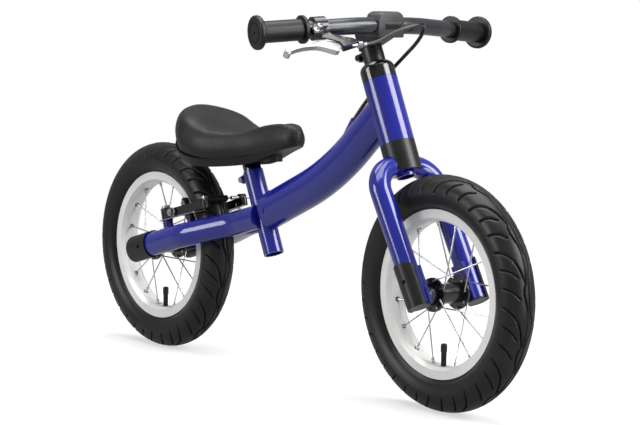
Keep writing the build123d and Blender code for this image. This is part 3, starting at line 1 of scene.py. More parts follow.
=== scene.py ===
"""Balance bike: tread, leather, cables and finishes on the CAD frame, in a plain studio.

The scene is metres in the CAD frame: +X is forward, +Y is the rider's left, +Z is up, and the
origin is on the ground midway between the axles. Profiles, outlines and routes are millimetres.
"""

from __future__ import annotations

import json
import logging
import math
from dataclasses import astuple, dataclass
from enum import Enum
from functools import cache
from itertools import accumulate
from typing import Iterable, Iterator, Protocol, Sequence

import bmesh
import bpy
from mathutils import Matrix, Vector
from mathutils.kdtree import KDTree

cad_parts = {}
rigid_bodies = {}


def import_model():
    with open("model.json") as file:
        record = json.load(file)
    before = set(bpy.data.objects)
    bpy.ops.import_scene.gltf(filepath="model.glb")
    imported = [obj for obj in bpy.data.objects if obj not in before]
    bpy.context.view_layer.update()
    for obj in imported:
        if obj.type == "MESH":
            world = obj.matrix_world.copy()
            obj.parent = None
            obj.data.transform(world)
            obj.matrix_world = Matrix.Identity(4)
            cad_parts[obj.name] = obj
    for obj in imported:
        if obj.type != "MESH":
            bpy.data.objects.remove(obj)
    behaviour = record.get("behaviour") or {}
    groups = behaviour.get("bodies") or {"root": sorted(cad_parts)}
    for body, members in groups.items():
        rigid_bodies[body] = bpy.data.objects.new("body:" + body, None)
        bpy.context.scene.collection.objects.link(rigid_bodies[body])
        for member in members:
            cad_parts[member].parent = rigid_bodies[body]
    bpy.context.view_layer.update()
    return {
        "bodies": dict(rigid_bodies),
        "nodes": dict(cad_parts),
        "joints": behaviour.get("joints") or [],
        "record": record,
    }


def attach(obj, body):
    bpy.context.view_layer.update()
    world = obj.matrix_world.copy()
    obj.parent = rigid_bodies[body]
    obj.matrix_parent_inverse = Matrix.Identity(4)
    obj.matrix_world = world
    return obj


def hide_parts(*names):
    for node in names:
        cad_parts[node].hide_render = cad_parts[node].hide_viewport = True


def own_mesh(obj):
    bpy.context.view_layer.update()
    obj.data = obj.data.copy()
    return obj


log = logging.getLogger("balance_bike")

Object = bpy.types.Object
Vert = bmesh.types.BMVert
Colour = tuple[float, float, float]
Point = tuple[float, float, float]
Profile = Sequence[tuple[float, float]]

MM = 0.001
CREASE = 35.0
BEVEL_STEPS = 3
MERGE_GAP = 0.001
WHEELBASE = 618.0 * MM
# Vertex attribute of how deep the tread lies in a groove, which the rubber's material turns into
# painted shade.
PAINTED_SHADE_MASK = "hollow"
WHITE: Colour = (1.0, 1.0, 1.0)
BLACK: Colour = (0.0, 0.0, 0.0)

FINE_DETAIL = 3.0
PATCH_DETAIL = 4.0
PATCH_EDGES = (0.42, 0.66)
BRUSH_STRETCH: Point = (90.0, 2400.0, 2400.0)
HIDE_CELL_EDGE = 0.22
HIDE_FOLD_SCALE = 0.4
HIDE_FOLD_SHARE = 0.35


class Side(Enum):
    """The rider's side of the bike, as the sign of Y."""

    LEFT = 1
    RIGHT = -1

    @property
    def label(self) -> str:
        """The side as it stands at the end of a piece's name."""
        return self.name.lower()


class Grain(Enum):
    """How the fine texture of a finish runs."""

    PEBBLE = "pebble"
    BRUSHED = "brushed"
    HIDE = "hide"
    LIQUID = "liquid"


def linear(colour: Colour) -> tuple[float, float, float, float]:
    """A display colour as the linear value that a shader socket takes.

    Args:
        colour: Red, green and blue as they show on a screen, from 0 to 1.

    Returns:
        The linear red, green and blue, and an alpha of 1.
    """
    knee, slope, offset, power = 0.04045, 12.92, 0.055, 2.4
    parts = [c / slope if c <= knee else ((c + offset) / (1 + offset)) ** power for c in colour]
    return parts[0], parts[1], parts[2], 1.0


class Wire:
    """A value on its way between shader nodes, which takes part in Python expressions."""

    def __init__(self, nodes: Nodes, socket: bpy.types.NodeSocket) -> None:
        """Keeps the socket and the tree that any new node goes in."""
        self.nodes = nodes
        self.socket = socket

    def math(self, operation: str, *values: Wire | float) -> Wire:
        """A Math node on these values."""
        return self.nodes.wire("ShaderNodeMath", {"operation": operation}, dict(enumerate(values)))

    def __add__(self, other: Wire | float) -> Wire:
        """self + other"""
        return self.math("ADD", self, other)

    __radd__ = __add__

    def __mul__(self, other: Wire | float) -> Wire:
        """self * other"""
        return self.math("MULTIPLY", self, other)

    __rmul__ = __mul__

    def __sub__(self, other: Wire | float) -> Wire:
        """self - other"""
        return self.math("SUBTRACT", self, other)

    def __rsub__(self, other: Wire | float) -> Wire:
        """other - self"""
        return self.math("SUBTRACT", other, self)

    def step(self, low: float, high: float) -> Wire:
        """A smooth 0 to 1 as the value goes from low to high."""
        inputs = {"Value": self, "From Min": low, "From Max": high}
        return self.nodes.wire("ShaderNodeMapRange", {"interpolation_type": "SMOOTHSTEP"}, inputs)


class Nodes:
    """The node tree of a material or a world, with the one method that makes its nodes."""

    def __init__(self, owner: bpy.types.Material | bpy.types.World) -> None:
        """Empties the owner's node tree.

        Args:
            owner: The material or the world.
        """
        owner.use_nodes = True
        self.tree = owner.node_tree
        self.tree.nodes.clear()

    def node(self, kind: str, settings: dict | None = None,
             inputs: dict | None = None) -> bpy.types.Node:
        """Makes a node, sets it and fills its sockets.

        Args:
            kind: The node's type, such as ShaderNodeMath.
            settings: Its properties.
            inputs: Values or wires for its inputs, by name or number.

        Returns:
            The node.
        """
        node = self.tree.nodes.new(kind)
        for key, value in (settings or {}).items():
            setattr(node, key, value)
        self.fill(node, inputs or {})
        return node

    def fill(self, node: bpy.types.Node, inputs: dict) -> None:
        """Links wires to a node's inputs, or sets the inputs' own values.

        Args:
            node: The node.
            inputs: Values or wires, by name or number of the input.
        """
        for key, value in inputs.items():
            if isinstance(value, Wire):
                self.tree.links.new(value.socket, node.inputs[key])
            else:
                node.inputs[key].default_value = value

    def wire(self, kind: str, settings: dict | None = None, inputs: dict | None = None,
             output: str | int = 0) -> Wire:
        """Makes a node and returns one of its outputs as a wire."""
        return Wire(self, self.node(kind, settings, inputs).outputs[output])

    def mixed(self, factor: Wire, low: Wire, high: Wire) -> Wire:
        """A shader between two, by factor."""
        return self.wire("ShaderNodeMixShader", {}, {0: factor, 1: low, 2: high})

    def rays(self) -> tuple[Wire, Wire]:
        """What a shader knows of the ray that meets it.

        Returns:
            1 on rays that the camera sees, straight or through glass, and 1 on mirrored rays.
        """
        path = self.node("ShaderNodeLightPath")
        straight, through, mirrored = (Wire(self, path.outputs[f"Is {kind} Ray"])
                                       for kind in ("Camera", "Transmission", "Glossy"))
        return straight.math("MAXIMUM", straight, through), mirrored


class Recipe(Nodes):
    """The node tree of one material, round a Principled shader and object coordinates."""

    def __init__(self, name: str) -> None:
        """Starts the material with its shader, its output and its coordinates.

        Args:
            name: The material's name.
        """
        self.material = bpy.data.materials.new(name)
        super().__init__(self.material)
        self.shader = self.node("ShaderNodeBsdfPrincipled")
        self.surface = Wire(self, self.shader.outputs["BSDF"])
        self.output = self.node("ShaderNodeOutputMaterial", {}, {"Surface": self.surface})
        self.place = self.wire("ShaderNodeTexCoord", output="Object")

    def noise(self, scale: float, detail: float = 2.0, place: Wire | None = None) -> Wire:
        """Cloudy noise with this many waves to the metre."""
        inputs = {"Vector": place or self.place, "Scale": scale, "Detail": detail}
        return self.wire("ShaderNodeTexNoise", {}, inputs)

    def stretched(self, scale: Point) -> Wire:
        """Object coordinates stretched by this much on each axis."""
        return self.wire("ShaderNodeMapping", {}, {"Vector": self.place, "Scale": scale})

    def blend(self, factor: Wire, low: Wire | Colour, high: Colour) -> Wire:
        """A colour between two, by factor."""
        inputs = {0: factor, 6: low if isinstance(low, Wire) else linear(low), 7: linear(high)}
        return self.wire("ShaderNodeMix", {"data_type": "RGBA"}, inputs, 2)

    def bump(self, height: Wire, depth: float) -> Wire:
        """A bumped normal from a height of 0 to 1 that stands this deep in metres."""
        return self.wire("ShaderNodeBump", {}, {"Height": height, "Distance": depth}, "Normal")


@dataclass(frozen=True)
class Finish:
    """A surface finish: two colours that vary over it, its gloss, its grain, and any painted shade
    in its grooves.
    """

    name: str
    colour: Colour
    worn: Colour
    roughness: float
    spread: float
    metallic: float = 0.0
    coat: float = 0.0
    coat_roughness: float = 0.05
    specular: float = 0.5
    grain: Grain = Grain.PEBBLE
    grain_scale: float = 900.0
    grain_depth: float = 0.00004
    patch_scale: float = 30.0
    # How far the tread grooves are darkened toward black as painted shade, from 0 for none.
    hollow_shade: float = 0.0

    def height(self, recipe: Recipe) -> Wire:
        """The fine relief of the surface.

        Args:
            recipe: The material's nodes.

        Returns:
            The height, from 0 to 1.
        """
        if self.grain is Grain.BRUSHED:
            return recipe.noise(1.0, FINE_DETAIL, recipe.stretched(BRUSH_STRETCH))
        if self.grain is Grain.HIDE:
            settings = {"feature": "DISTANCE_TO_EDGE"}
            inputs = {"Vector": recipe.place, "Scale": self.grain_scale}
            cells = recipe.wire("ShaderNodeTexVoronoi", settings, inputs, "Distance")
            folds = recipe.noise(self.grain_scale * HIDE_FOLD_SCALE, FINE_DETAIL)
            return cells.step(0.0, HIDE_CELL_EDGE) + folds * HIDE_FOLD_SHARE
        if self.grain is Grain.LIQUID:
            return recipe.noise(self.grain_scale, 1.0)
        return recipe.noise(self.grain_scale, FINE_DETAIL)

    def dress(self) -> bpy.types.Material:
        """Builds the material.

        Returns:
            The node material of this finish.
        """
        recipe = Recipe(self.name)
        patches = recipe.noise(self.patch_scale, PATCH_DETAIL)
        colour = recipe.blend(patches.step(*PATCH_EDGES), self.colour, self.worn)
        roughness = (patches - 0.5) * self.spread + self.roughness
        # Painted shade: the grooves are darkened toward black by their depth, and made rougher too.
        if self.hollow_shade:
            hollow = recipe.wire("ShaderNodeAttribute", {"attribute_name": PAINTED_SHADE_MASK}, {}, "Fac")
            painted_shade = hollow * self.hollow_shade
            colour = recipe.blend(painted_shade, colour, BLACK)
            roughness = roughness + painted_shade
        recipe.fill(recipe.shader, {
            "Base Color": colour, "Roughness": roughness, "Metallic": self.metallic,
            "Normal": recipe.bump(self.height(recipe), self.grain_depth), "Coat Weight": self.coat,
            "Coat Roughness": self.coat_roughness, "Specular IOR Level": self.specular})
        return recipe.material


FRAME_PAINT = Finish(
    "frame_paint", (0.07, 0.10, 0.50), (0.085, 0.115, 0.54), 0.30, 0.05, coat=1.0,
    coat_roughness=0.09, specular=0.15, grain=Grain.LIQUID, grain_scale=260.0, grain_depth=0.00002,
    patch_scale=700.0)
BLACK_MOULDING = Finish(
    "black_moulding", (0.05, 0.05, 0.05), (0.07, 0.07, 0.07), 0.36, 0.12, specular=0.4)
BLACK_GLOSS = Finish("black_gloss", (0.035, 0.035, 0.035), (0.05, 0.05, 0.05), 0.16, 0.08, coat=0.5)
BLACK_STEEL = Finish(
    "black_steel", (0.045, 0.045, 0.047), (0.065, 0.065, 0.068), 0.24, 0.10, coat=0.4)
BAR_COATING = Finish(
    "bar_coating", (0.24, 0.245, 0.26), (0.28, 0.285, 0.30), 0.26, 0.08, metallic=0.6,
    grain=Grain.LIQUID, grain_scale=500.0)
BLOCK_COATING = Finish("block_coating", (0.19, 0.19, 0.19), (0.22, 0.22, 0.22), 0.44, 0.10)
MATT_PLASTIC = Finish(
    "matt_plastic", (0.06, 0.06, 0.058), (0.08, 0.08, 0.078), 0.46, 0.10, specular=0.3)
BRIGHT_STEEL = Finish(
    "bright_steel", (0.80, 0.80, 0.81), (0.68, 0.68, 0.69), 0.24, 0.12, metallic=1.0,
    grain=Grain.BRUSHED, grain_depth=0.00001)
ZINC_STEEL = Finish("zinc_steel", (0.72, 0.72, 0.73), (0.57, 0.57, 0.59), 0.30, 0.16, metallic=1.0)
LEVER_ALLOY = Finish(
    "lever_alloy", (0.78, 0.78, 0.77), (0.70, 0.70, 0.69), 0.34, 0.10, metallic=0.85,
    grain=Grain.BRUSHED, grain_depth=0.00001)
RIM_WHITE = Finish(
    "rim_white", (0.92, 0.92, 0.91), (0.90, 0.90, 0.89), 0.26, 0.06, coat=0.5, grain=Grain.LIQUID,
    grain_scale=220.0, grain_depth=0.00002)
# The rubber darkens its tread grooves toward black as painted shade.
TYRE_RUBBER = Finish(
    "tyre_rubber", (0.07, 0.07, 0.068), (0.10, 0.10, 0.098), 0.38, 0.12, specular=0.30,
    grain_scale=1300.0, grain_depth=0.00006, patch_scale=18.0, hollow_shade=0.9)
GRIP_RUBBER = Finish(
    "grip_rubber", (0.045, 0.045, 0.046), (0.065, 0.065, 0.066), 0.40, 0.12, specular=0.36,
    grain_scale=1600.0, grain_depth=0.00005)
CABLE_BLACK = Finish("cable_black", (0.05, 0.05, 0.05), (0.07, 0.07, 0.07), 0.28, 0.08)
SADDLE_HIDE = Finish(
    "saddle_hide", (0.03, 0.03, 0.028), (0.045, 0.045, 0.043), 0.34, 0.08, specular=0.34,
    grain=Grain.HIDE, grain_scale=620.0, grain_depth=0.00010)

NODE_FINISHES: tuple[tuple[Finish, str], ...] = (
    (FRAME_PAINT, "head_tube main_tube seat_tube stay_* steerer_tube fork_blade_*"),
    (BLACK_GLOSS, "upper_headset_cover seat_post"),
    (BLACK_MOULDING, "lower_headset_cover fork_cover_* stay_cap_* *_valve_cap stem clamp_collar"),
    (BLACK_STEEL, "brake_arm_* *_hub collar_bolt stem_wedge"),
    (BAR_COATING, "handlebar"),
    (MATT_PLASTIC, "saddle_base brake_pad_* *_inner_tube"),
    (BRIGHT_STEEL, "*_spokes noodle headset_bearings *_hub_bearings"),
    (ZINC_STEEL, "*_axle *_axle_nuts seat_clamp_bolt brake_pivot_bolts arm_hardware_*"),
    (RIM_WHITE, "*_rim"),
    (GRIP_RUBBER, "grip_*"),
)


@cache
def material_of(finish: Finish) -> bpy.types.Material:
    """The material of a finish, made the first time it is asked for."""
    return finish.dress()


def put_on(piece: Object, finish: Finish) -> None:
    """Gives a piece one finish all over.

    Args:
        piece: The piece.
        finish: Its finish.
    """
    worn = piece.data.materials
    if not worn:
        worn.append(material_of(finish))
    for index in range(len(worn)):
        worn[index] = material_of(finish)


def dress_nodes(nodes: dict[str, Object]) -> None:
    """Gives every CAD node that stays its finish.

    Args:
        nodes: The frame's nodes by name.
    """
    for finish, names in NODE_FINISHES:
        for name in names.split():
            ends = ("left", "right") if name.endswith("*") else ("front", "rear")
            for node in dict.fromkeys(name.replace("*", end) for end in ends):
                put_on(nodes[node], finish)
                log.info("node %s wears %s", node, finish.name)


def mount(piece: Object, finish: Finish, body: str, node: str = "") -> Object:
    """Dresses a piece and mounts it.

    Args:
        piece: The piece.
        finish: Its finish.
        body: The body that it rides on.
        node: The CAD node that it stands for, if it stands for one.

    Returns:
        The same piece.
    """
    put_on(piece, finish)
    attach(piece, body)
    if node:
        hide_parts(node)
    return piece


class Assembly(Protocol):
    """A part of the bike that builds its own pieces."""

    def build(self) -> Iterator[Object]:
        """Builds the pieces one after another, dressed and mounted."""


def metres(place: Point) -> tuple[float, ...]:
    """A place in millimetres as metres."""
    return tuple(size * MM for size in place)


def add_object(name: str, data: bpy.types.ID) -> Object:
    """Makes an object and links it to the scene.

    Args:
        name: Its name.
        data: Its mesh, curve, lamp or camera.

    Returns:
        The object.
    """
    made = bpy.data.objects.new(name, data)
    bpy.context.scene.collection.objects.link(made)
    return made


def mesh_piece(name: str, bm: bmesh.types.BMesh, crease: float = 0.0) -> Object:
    """Turns a finished bmesh into a piece whose object sits at the origin.

    Args:
        name: The piece's name.
        bm: The mesh, which is freed.
        crease: Angle in degrees from which an edge is shaded sharp, or 0 for none.

    Returns:
        The piece, linked to the scene.
    """
    data = bpy.data.meshes.new(name)
    bm.to_mesh(data)
    bm.free()
    for polygon in data.polygons:
        polygon.use_smooth = True
    if crease:
        data.set_sharp_from_angle(angle=math.radians(crease))
    return add_object(name, data)


def arc_through(start: Sequence[float], middle: Sequence[float], end: Sequence[float],
                count: int) -> list[Vector]:
    """Points on the circle arc through three points of a plane, ends included.

    Args:
        start: First point of the arc.
        middle: A point on the arc.
        end: Last point of the arc.
        count: How many steps the arc has.

    Returns:
        count + 1 points.
    """
    a, b, c = Vector(start), Vector(middle), Vector(end)
    ab, ac = b - a, c - a
    cross = 2 * (ab.x * ac.y - ab.y * ac.x)
    centre = a + Vector((ac.y * ab.length_squared - ab.y * ac.length_squared,
                         ab.x * ac.length_squared - ac.x * ab.length_squared)) / cross
    first, halfway, last = (math.atan2(point.y - centre.y, point.x - centre.x)
                            for point in (a, b, c))
    turn = (last - first) % math.tau
    if (halfway - first) % math.tau > turn:
        turn -= math.tau
    radius = (a - centre).length
    angles = [first + turn * step / count for step in range(count + 1)]
    return [centre + radius * Vector((math.cos(angle), math.sin(angle))) for angle in angles]


def ease(value: float) -> float:
    """A smooth 0 to 1 for a value from 0 to 1."""
    value = min(max(value, 0.0), 1.0)
    return value * value * (3 - 2 * value)


def hermite(start: float, end: float, rise: float, fall: float, share: float) -> float:
    """A smooth value between two.

    Args:
        start: The value at share 0.
        end: The value at share 1.
        rise: The slope at the start.
        fall: The slope at the end.
        share: How far along the value is wanted.

    Returns:
        The value there.
    """
    square, cube = share * share, share ** 3
    return ((2 * cube - 3 * square + 1) * start + (cube - 2 * square + share) * rise
            + (3 * square - 2 * cube) * end + (cube - square) * fall)


def smooth_at(places: Sequence[float], values: Sequence[float], place: float) -> float:
    """A value at a place, smooth between given ones and never beyond them.

    Args:
        places: Where the values are given, in falling order.
        values: The given values.
        place: Where the value is wanted.

    Returns:
        The value there.
    """
    gaps = [before - after for before, after in zip(places, places[1:])]
    rises = [(after - before) / gap for before, after, gap in zip(values, values[1:], gaps)]
    slopes = [rises[0]]
    for before, after in zip(rises, rises[1:]):
        slopes.append(2 * before * after / (before + after) if before * after > 0 else 0.0)
    slopes.append(rises[-1])
    index = 0
    while index < len(gaps) - 1 and place < places[index + 1]:
        index += 1
    gap = gaps[index]
    share = min(max((places[index] - place) / gap, 0.0), 1.0)
    return hermite(values[index], values[index + 1], gap * slopes[index], gap * slopes[index + 1],
                   share)


def smooth_path(points: Profile, steps: int) -> list[Vector]:
    """A smooth line through points of a plane.

    Args:
        points: The points that it passes through.
        steps: How many steps it has between two of them.

    Returns:
        The line's points.
    """
    places = [Vector(point) for point in points]
    line = []
    around = zip(places[:1] + places, places, places[1:], places[2:] + places[-1:])
    for before, start, end, after in around:
        for step in range(steps):
            line.append(Vector([hermite(b, c, (c - a) / 2, (d - b) / 2, step / steps)
                                for a, b, c, d in zip(before, start, end, after)]))
    return line + [places[-1]]


def run_lengths(points: Sequence[Vector]) -> list[float]:
    """How far along a line each of its points is."""
    return [0.0, *accumulate((after - before).length for before, after in zip(points, points[1:]))]


def resample(points: Sequence[Vector], count: int) -> list[Vector]:
    """The same line with its points evenly spaced along it.

    Args:
        points: The line's points.
        count: How many points are wanted.

    Returns:
        The new points.
    """
    lengths = run_lengths(points)
    made = []
    index = 0
    for step in range(count):
        target = lengths[-1] * step / (count - 1)
        while index < len(points) - 2 and lengths[index + 1] < target:
            index += 1
        span = lengths[index + 1] - lengths[index]
        share = (target - lengths[index]) / span if span else 0.0
        made.append(points[index].lerp(points[index + 1], share))
    return made


def gap_to_run(point: Vector, start: Vector, end: Vector) -> float:
    """How far a point of a plane is from a straight run.

    Args:
        point: The point.
        start: Where the run starts.
        end: Where it ends.

    Returns:
        The distance.
    """
    run = end - start
    share = min(max((point - start).dot(run) / run.length_squared, 0.0), 1.0)
    return (point - start - run * share).length


def frame_at(origin: Sequence[float], along: Sequence[float], toward: Sequence[float]) -> Matrix:
    """The matrix from millimetres in a local frame to metres in the CAD frame.

    Args:
        origin: The frame's origin, in millimetres.
        along: Direction of its X axis.
        toward: Direction that its Y axis leans to.

    Returns:
        The matrix, right-handed.
    """
    x = Vector(along).normalized()
    y = Vector(toward) - x * Vector(toward).dot(x)
    y.normalize()
    turn = Matrix((x, y, x.cross(y))).transposed().to_4x4()
    return Matrix.Scale(MM, 4) @ Matrix.Translation(origin) @ turn


def spin_ring(bm: bmesh.types.BMesh, points: Iterable[Point], axis: Point, steps: int) -> None:
    """Spins a closed ring of points round an axis through the origin.

    Args:
        bm: The mesh to add to.
        points: The ring's points in order.
        axis: Direction of the axis.
        steps: How many steps the turn has.
    """
    ring = [bm.verts.new(point) for point in points]
    edges = [bm.edges.new(pair) for pair in zip(ring, ring[1:] + ring[:1])]
    bmesh.ops.spin(bm, geom=ring + edges, cent=(0, 0, 0), axis=axis, angle=math.tau, steps=steps,
                   use_merge=True)


class Solid:
    """A mesh in the making, drawn in the millimetres of its own frame."""

    def __init__(self, frame: Matrix) -> None:
        """Starts an empty mesh in a frame."""
        self.bm = bmesh.new()
        self.frame = frame

    def added(self, known: set[Vert]) -> list[Vert]:
        """The vertices beyond the known ones."""
        return [vert for vert in self.bm.verts if vert not in known]

    def face_out(self, verts: Sequence[Vert]) -> None:
        """Turns the faces at these vertices outward."""
        faces = dict.fromkeys(face for vert in verts for face in vert.link_faces)
        bmesh.ops.recalc_face_normals(self.bm, faces=list(faces))

    def turn(self, profile: Profile, steps: int, place: Matrix = Matrix()) -> None:
        """Adds a body turned round the Z axis.

        Args:
            profile: (radius, height) points of the closed section.
            steps: How many steps the turn has.
            place: Where the axis lies in the frame.
        """
        known = set(self.bm.verts)
        spin_ring(self.bm, ((radius, 0.0, height) for radius, height in profile), (0, 0, 1), steps)
        bmesh.ops.remove_doubles(self.bm, verts=self.added(known), dist=MERGE_GAP)
        made = self.added(known)
        self.face_out(made)
        bmesh.ops.transform(self.bm, matrix=self.frame @ place, verts=made)

    def prism(self, outline: Profile, low: float, high: float, soft: float) -> None:
        """Adds a straight body on an outline, with softened edges.

        Args:
            outline: (x, y) points of the outline in order.
            low: Where it starts on the Z axis.
            high: Where it ends.
            soft: Width of the bevel on its edges.
        """
        known = set(self.bm.verts)
        foot = self.bm.faces.new([self.bm.verts.new((x, y, low)) for x, y in outline])
        grown = bmesh.ops.extrude_face_region(self.bm, geom=[foot], use_keep_orig=True)["geom"]
        top = [item for item in grown if isinstance(item, Vert)]
        bmesh.ops.translate(self.bm, vec=(0, 0, high - low), verts=top)
        made = self.added(known)
        self.face_out(made)
        edges = dict.fromkeys(edge for vert in made for edge in vert.link_edges)
        bmesh.ops.bevel(self.bm, geom=list(edges), offset=soft, segments=BEVEL_STEPS,
                        profile=0.5, affect="EDGES", material=-1, clamp_overlap=True)
        bmesh.ops.transform(self.bm, matrix=self.frame, verts=self.added(known))

    def mount(self, name: str, finish: Finish, body: str, node: str = "") -> Object:
        """Ends the mesh and mounts it as a piece of this name."""
        return mount(mesh_piece(name, self.bm, CREASE), finish, body, node)


@dataclass
class Tyre:
    """A tyre spun round its axle, with its tread carved as grooves."""

    axle: str
    axle_x: float
    radius: float = 152.5 * MM
    half_width: float = 24.4 * MM
    bead_top: float = 109.3 * MM
    bead_foot: float = 101.7 * MM
    bead_half_width: float = 13.4 * MM
    bead_inner: float = 10.4 * MM
    wall: float = 3.0 * MM
    tread_half_width: float = 13.0 * MM
    tread_drop: float = 3.6 * MM
    crown_steps: int = 30
    wall_steps: int = 26
    cavity_steps: int = 14
    grooves: int = 36
    steps_per_groove: int = 24
    groove_half_width: float = 1.8 * MM
    groove_depth: float = 2.8 * MM
    unit_grooves: int = 3
    ring_places: tuple[float, ...] = (39.5, 52.5, 56.5)
    ring_lift: float = 0.55 * MM
    ring_half_width: float = 0.9 * MM
    match_gap: float = 0.1 * MM
    runs: tuple[Profile, ...] = (
        ((0, 36), (3, 29), (9, 21.5), (18, 14.5), (30, 9.5), (44, 5.5), (50, 3.5)),
        ((26.6, 33.5), (29, 27), (33.5, 20), (41, 13)),
        ((53.2, 33.5), (55.6, 27), (60, 20), (68, 12.5)),
        ((50, 3.5), (54, 6), (62, 7), (72, 5), (80, 2)),
        ((0, 2), (12, 0.4), (26, 0.6), (38, 1.6), (50, 3.5)),
    )

    @property
    def steps(self) -> int:
        """How many steps the tyre has round its axle."""
        return self.grooves * self.steps_per_groove

    @property
    def unit_length(self) -> float:
        """How far one repeat of the tread runs round the crown."""
        return math.tau * self.radius * self.unit_grooves / self.grooves

    def outside(self) -> list[tuple[Vector, float]]:
        """The outside of the section from one bead to the other.

        Returns:
            Points as (radius, offset) with how far each is from the crown along the surface,
            negative on the right side.
        """
        shoulder = self.radius - self.tread_drop
        sidewall = (self.bead_top + shoulder) / 2
        edge = (shoulder, self.tread_half_width)
        crown = arc_through((shoulder, -self.tread_half_width), (self.radius, 0.0), edge,
                            self.crown_steps)
        wall = arc_through(edge, (sidewall, self.half_width),
                           (self.bead_top, self.bead_half_width), self.wall_steps)
        half = crown[len(crown) // 2:] + wall[1:]
        left = list(zip(half, run_lengths(half)))
        right = [(Vector((p.x, -p.y)), -u) for p, u in reversed(left[1:])]
        return right + left

    def lift(self, around: float, across: float) -> float:
        """How far the surface stands above the plain section, below 0 in a groove.

        Args:
            around: Place round the crown within a repeat of the tread.
            across: Place across the section, from the crown.

        Returns:
            The height in metres.
        """
        unit = self.unit_length
        shifted = around if across < 0 else (around + unit / 2) % unit
        nearest = self.groove_half_width
        for run in self.runs:
            for start, end in zip(run, run[1:]):
                for turn in (-unit, 0.0, unit):
                    point = Vector((shifted + turn, abs(across)))
                    gap = gap_to_run(point, Vector(start) * MM, Vector(end) * MM)
                    nearest = min(nearest, gap)
        height = -self.groove_depth * ease(1 - nearest / self.groove_half_width)
        for place in self.ring_places:
            gap = abs(abs(across) - place * MM)
            height += self.ring_lift * ease(1 - gap / self.ring_half_width)
        return height

    def build(self) -> Iterator[Object]:
        """Spins the section, carves the tread and dresses the tyre.

        Yields:
            The tyre.
        """
        outside = self.outside()
        inner, outer = self.bead_inner, self.bead_half_width
        loop = [point for point, _ in outside]
        loop += [Vector((self.bead_foot, offset)) for offset in (outer, inner)]
        loop += arc_through((self.bead_top, inner), (self.radius - self.wall, 0.0),
                            (self.bead_top, -inner), self.cavity_steps)
        loop += [Vector((self.bead_foot, -offset)) for offset in (inner, outer)]
        bm = bmesh.new()
        spin_ring(bm, (point.to_3d() for point in loop), (0, 1, 0), self.steps)
        bmesh.ops.recalc_face_normals(bm, faces=bm.faces)
        self.carve(bm, outside)
        hub = Matrix.Translation((self.axle_x, 0, self.radius))
        bmesh.ops.transform(bm, matrix=hub, verts=bm.verts)
        piece = mount(mesh_piece(f"{self.axle}_tyre_tread", bm), TYRE_RUBBER,
                      f"{self.axle}_wheel", f"{self.axle}_tyre")
        yield piece

    def carve(self, bm: bmesh.types.BMesh, outside: list[tuple[Vector, float]]) -> None:
        """Moves the outside vertices along the section's normal by the tread's height, and keeps
        how deep each lies in a groove for the painted shade there.

        Args:
            bm: The spun tyre, round the origin.
            outside: The outside of its section.
        """
        tree = KDTree(len(outside))
        normals = []
        for index, (point, _) in enumerate(outside):
            before = outside[max(index - 1, 0)][0]
            after = outside[min(index + 1, len(outside) - 1)][0]
            along = (after - before).normalized()
            normals.append(Vector((along.y, -along.x)))
            tree.insert((point.x, point.y, 0.0), index)
        tree.balance()
        unit_steps = self.unit_grooves * self.steps_per_groove
        heights: dict[tuple[int, int], float] = {}
        hollow = bm.verts.layers.float.new(PAINTED_SHADE_MASK)
        for vert in bm.verts:
            radius = math.hypot(vert.co.x, vert.co.z)
            _, index, gap = tree.find((radius, vert.co.y, 0.0))
            if gap > self.match_gap:
                continue
            point, across = outside[index]
            turn = math.atan2(vert.co.z, vert.co.x) % math.tau / math.tau
            step = round(turn * self.steps) % unit_steps
            if (step, index) not in heights:
                around = self.unit_length * (1 - step / unit_steps)
                heights[step, index] = self.lift(around, across)
            height = heights[step, index]
            # Depth in a groove from 0 to 1, which the rubber darkens as painted shade.
            vert[hollow] = min(max(-height / self.groove_depth, 0.0), 1.0)
            reach = point.x + normals[index].x * height
            vert.co = Vector((vert.co.x * reach / radius, point.y + normals[index].y * height,
                              vert.co.z * reach / radius))


FRONT_ROUTE: tuple[Point, ...] = (
    (207.8, -54.6, 467.1), (211.4, -38.0, 468.9), (220, -10, 486), (226, 24, 494), (212, 44, 492),
    (197, 47, 472), (172, 38, 446), (148, 26, 418), (126.7, 0, 371.3), (116.9, 0, 357.5))
REAR_ROUTE: tuple[Point, ...] = (
    (-143.3, 58, 240.5), (-126.0, 58, 245.3), (-94, 47, 234), (-64.6, 33.5, 222.5), (-38, 4, 232))


@dataclass
class Housing:
    """A cable housing that follows its route as one smooth line."""

    name: str
    node: str
    body: str
    route: tuple[Point, ...]
    length: float
    diameter: float = 5.0 * MM
    round_steps: int = 5
    run_steps: int = 16
    order: int = 3

    def build(self) -> Iterator[Object]:
        """Yields:
            The housing.
        """
        data = bpy.data.curves.new(self.name, "CURVE")
        data.dimensions = "3D"
        data.bevel_depth = self.diameter / 2
        data.bevel_resolution = self.round_steps
        data.resolution_u = self.run_steps
        data.use_fill_caps = True
        line = data.splines.new("NURBS")
        line.points.add(len(self.route) - 1)
        for control, place in zip(line.points, self.route):
            control.co = (*metres(place), 1.0)
        line.order_u = self.order
        line.use_endpoint_u = True
        piece = mount(add_object(self.name, data), CABLE_BLACK, self.body, self.node)
        metres(self.route[0])
        yield piece


@dataclass(frozen=True)
class SaddleSection:
    """A cross-section of the saddle, in millimetres."""

    station: float
    half_width: float
    foot: float
    shoulder: float
    crest: float
    dish: float
    ridge: float


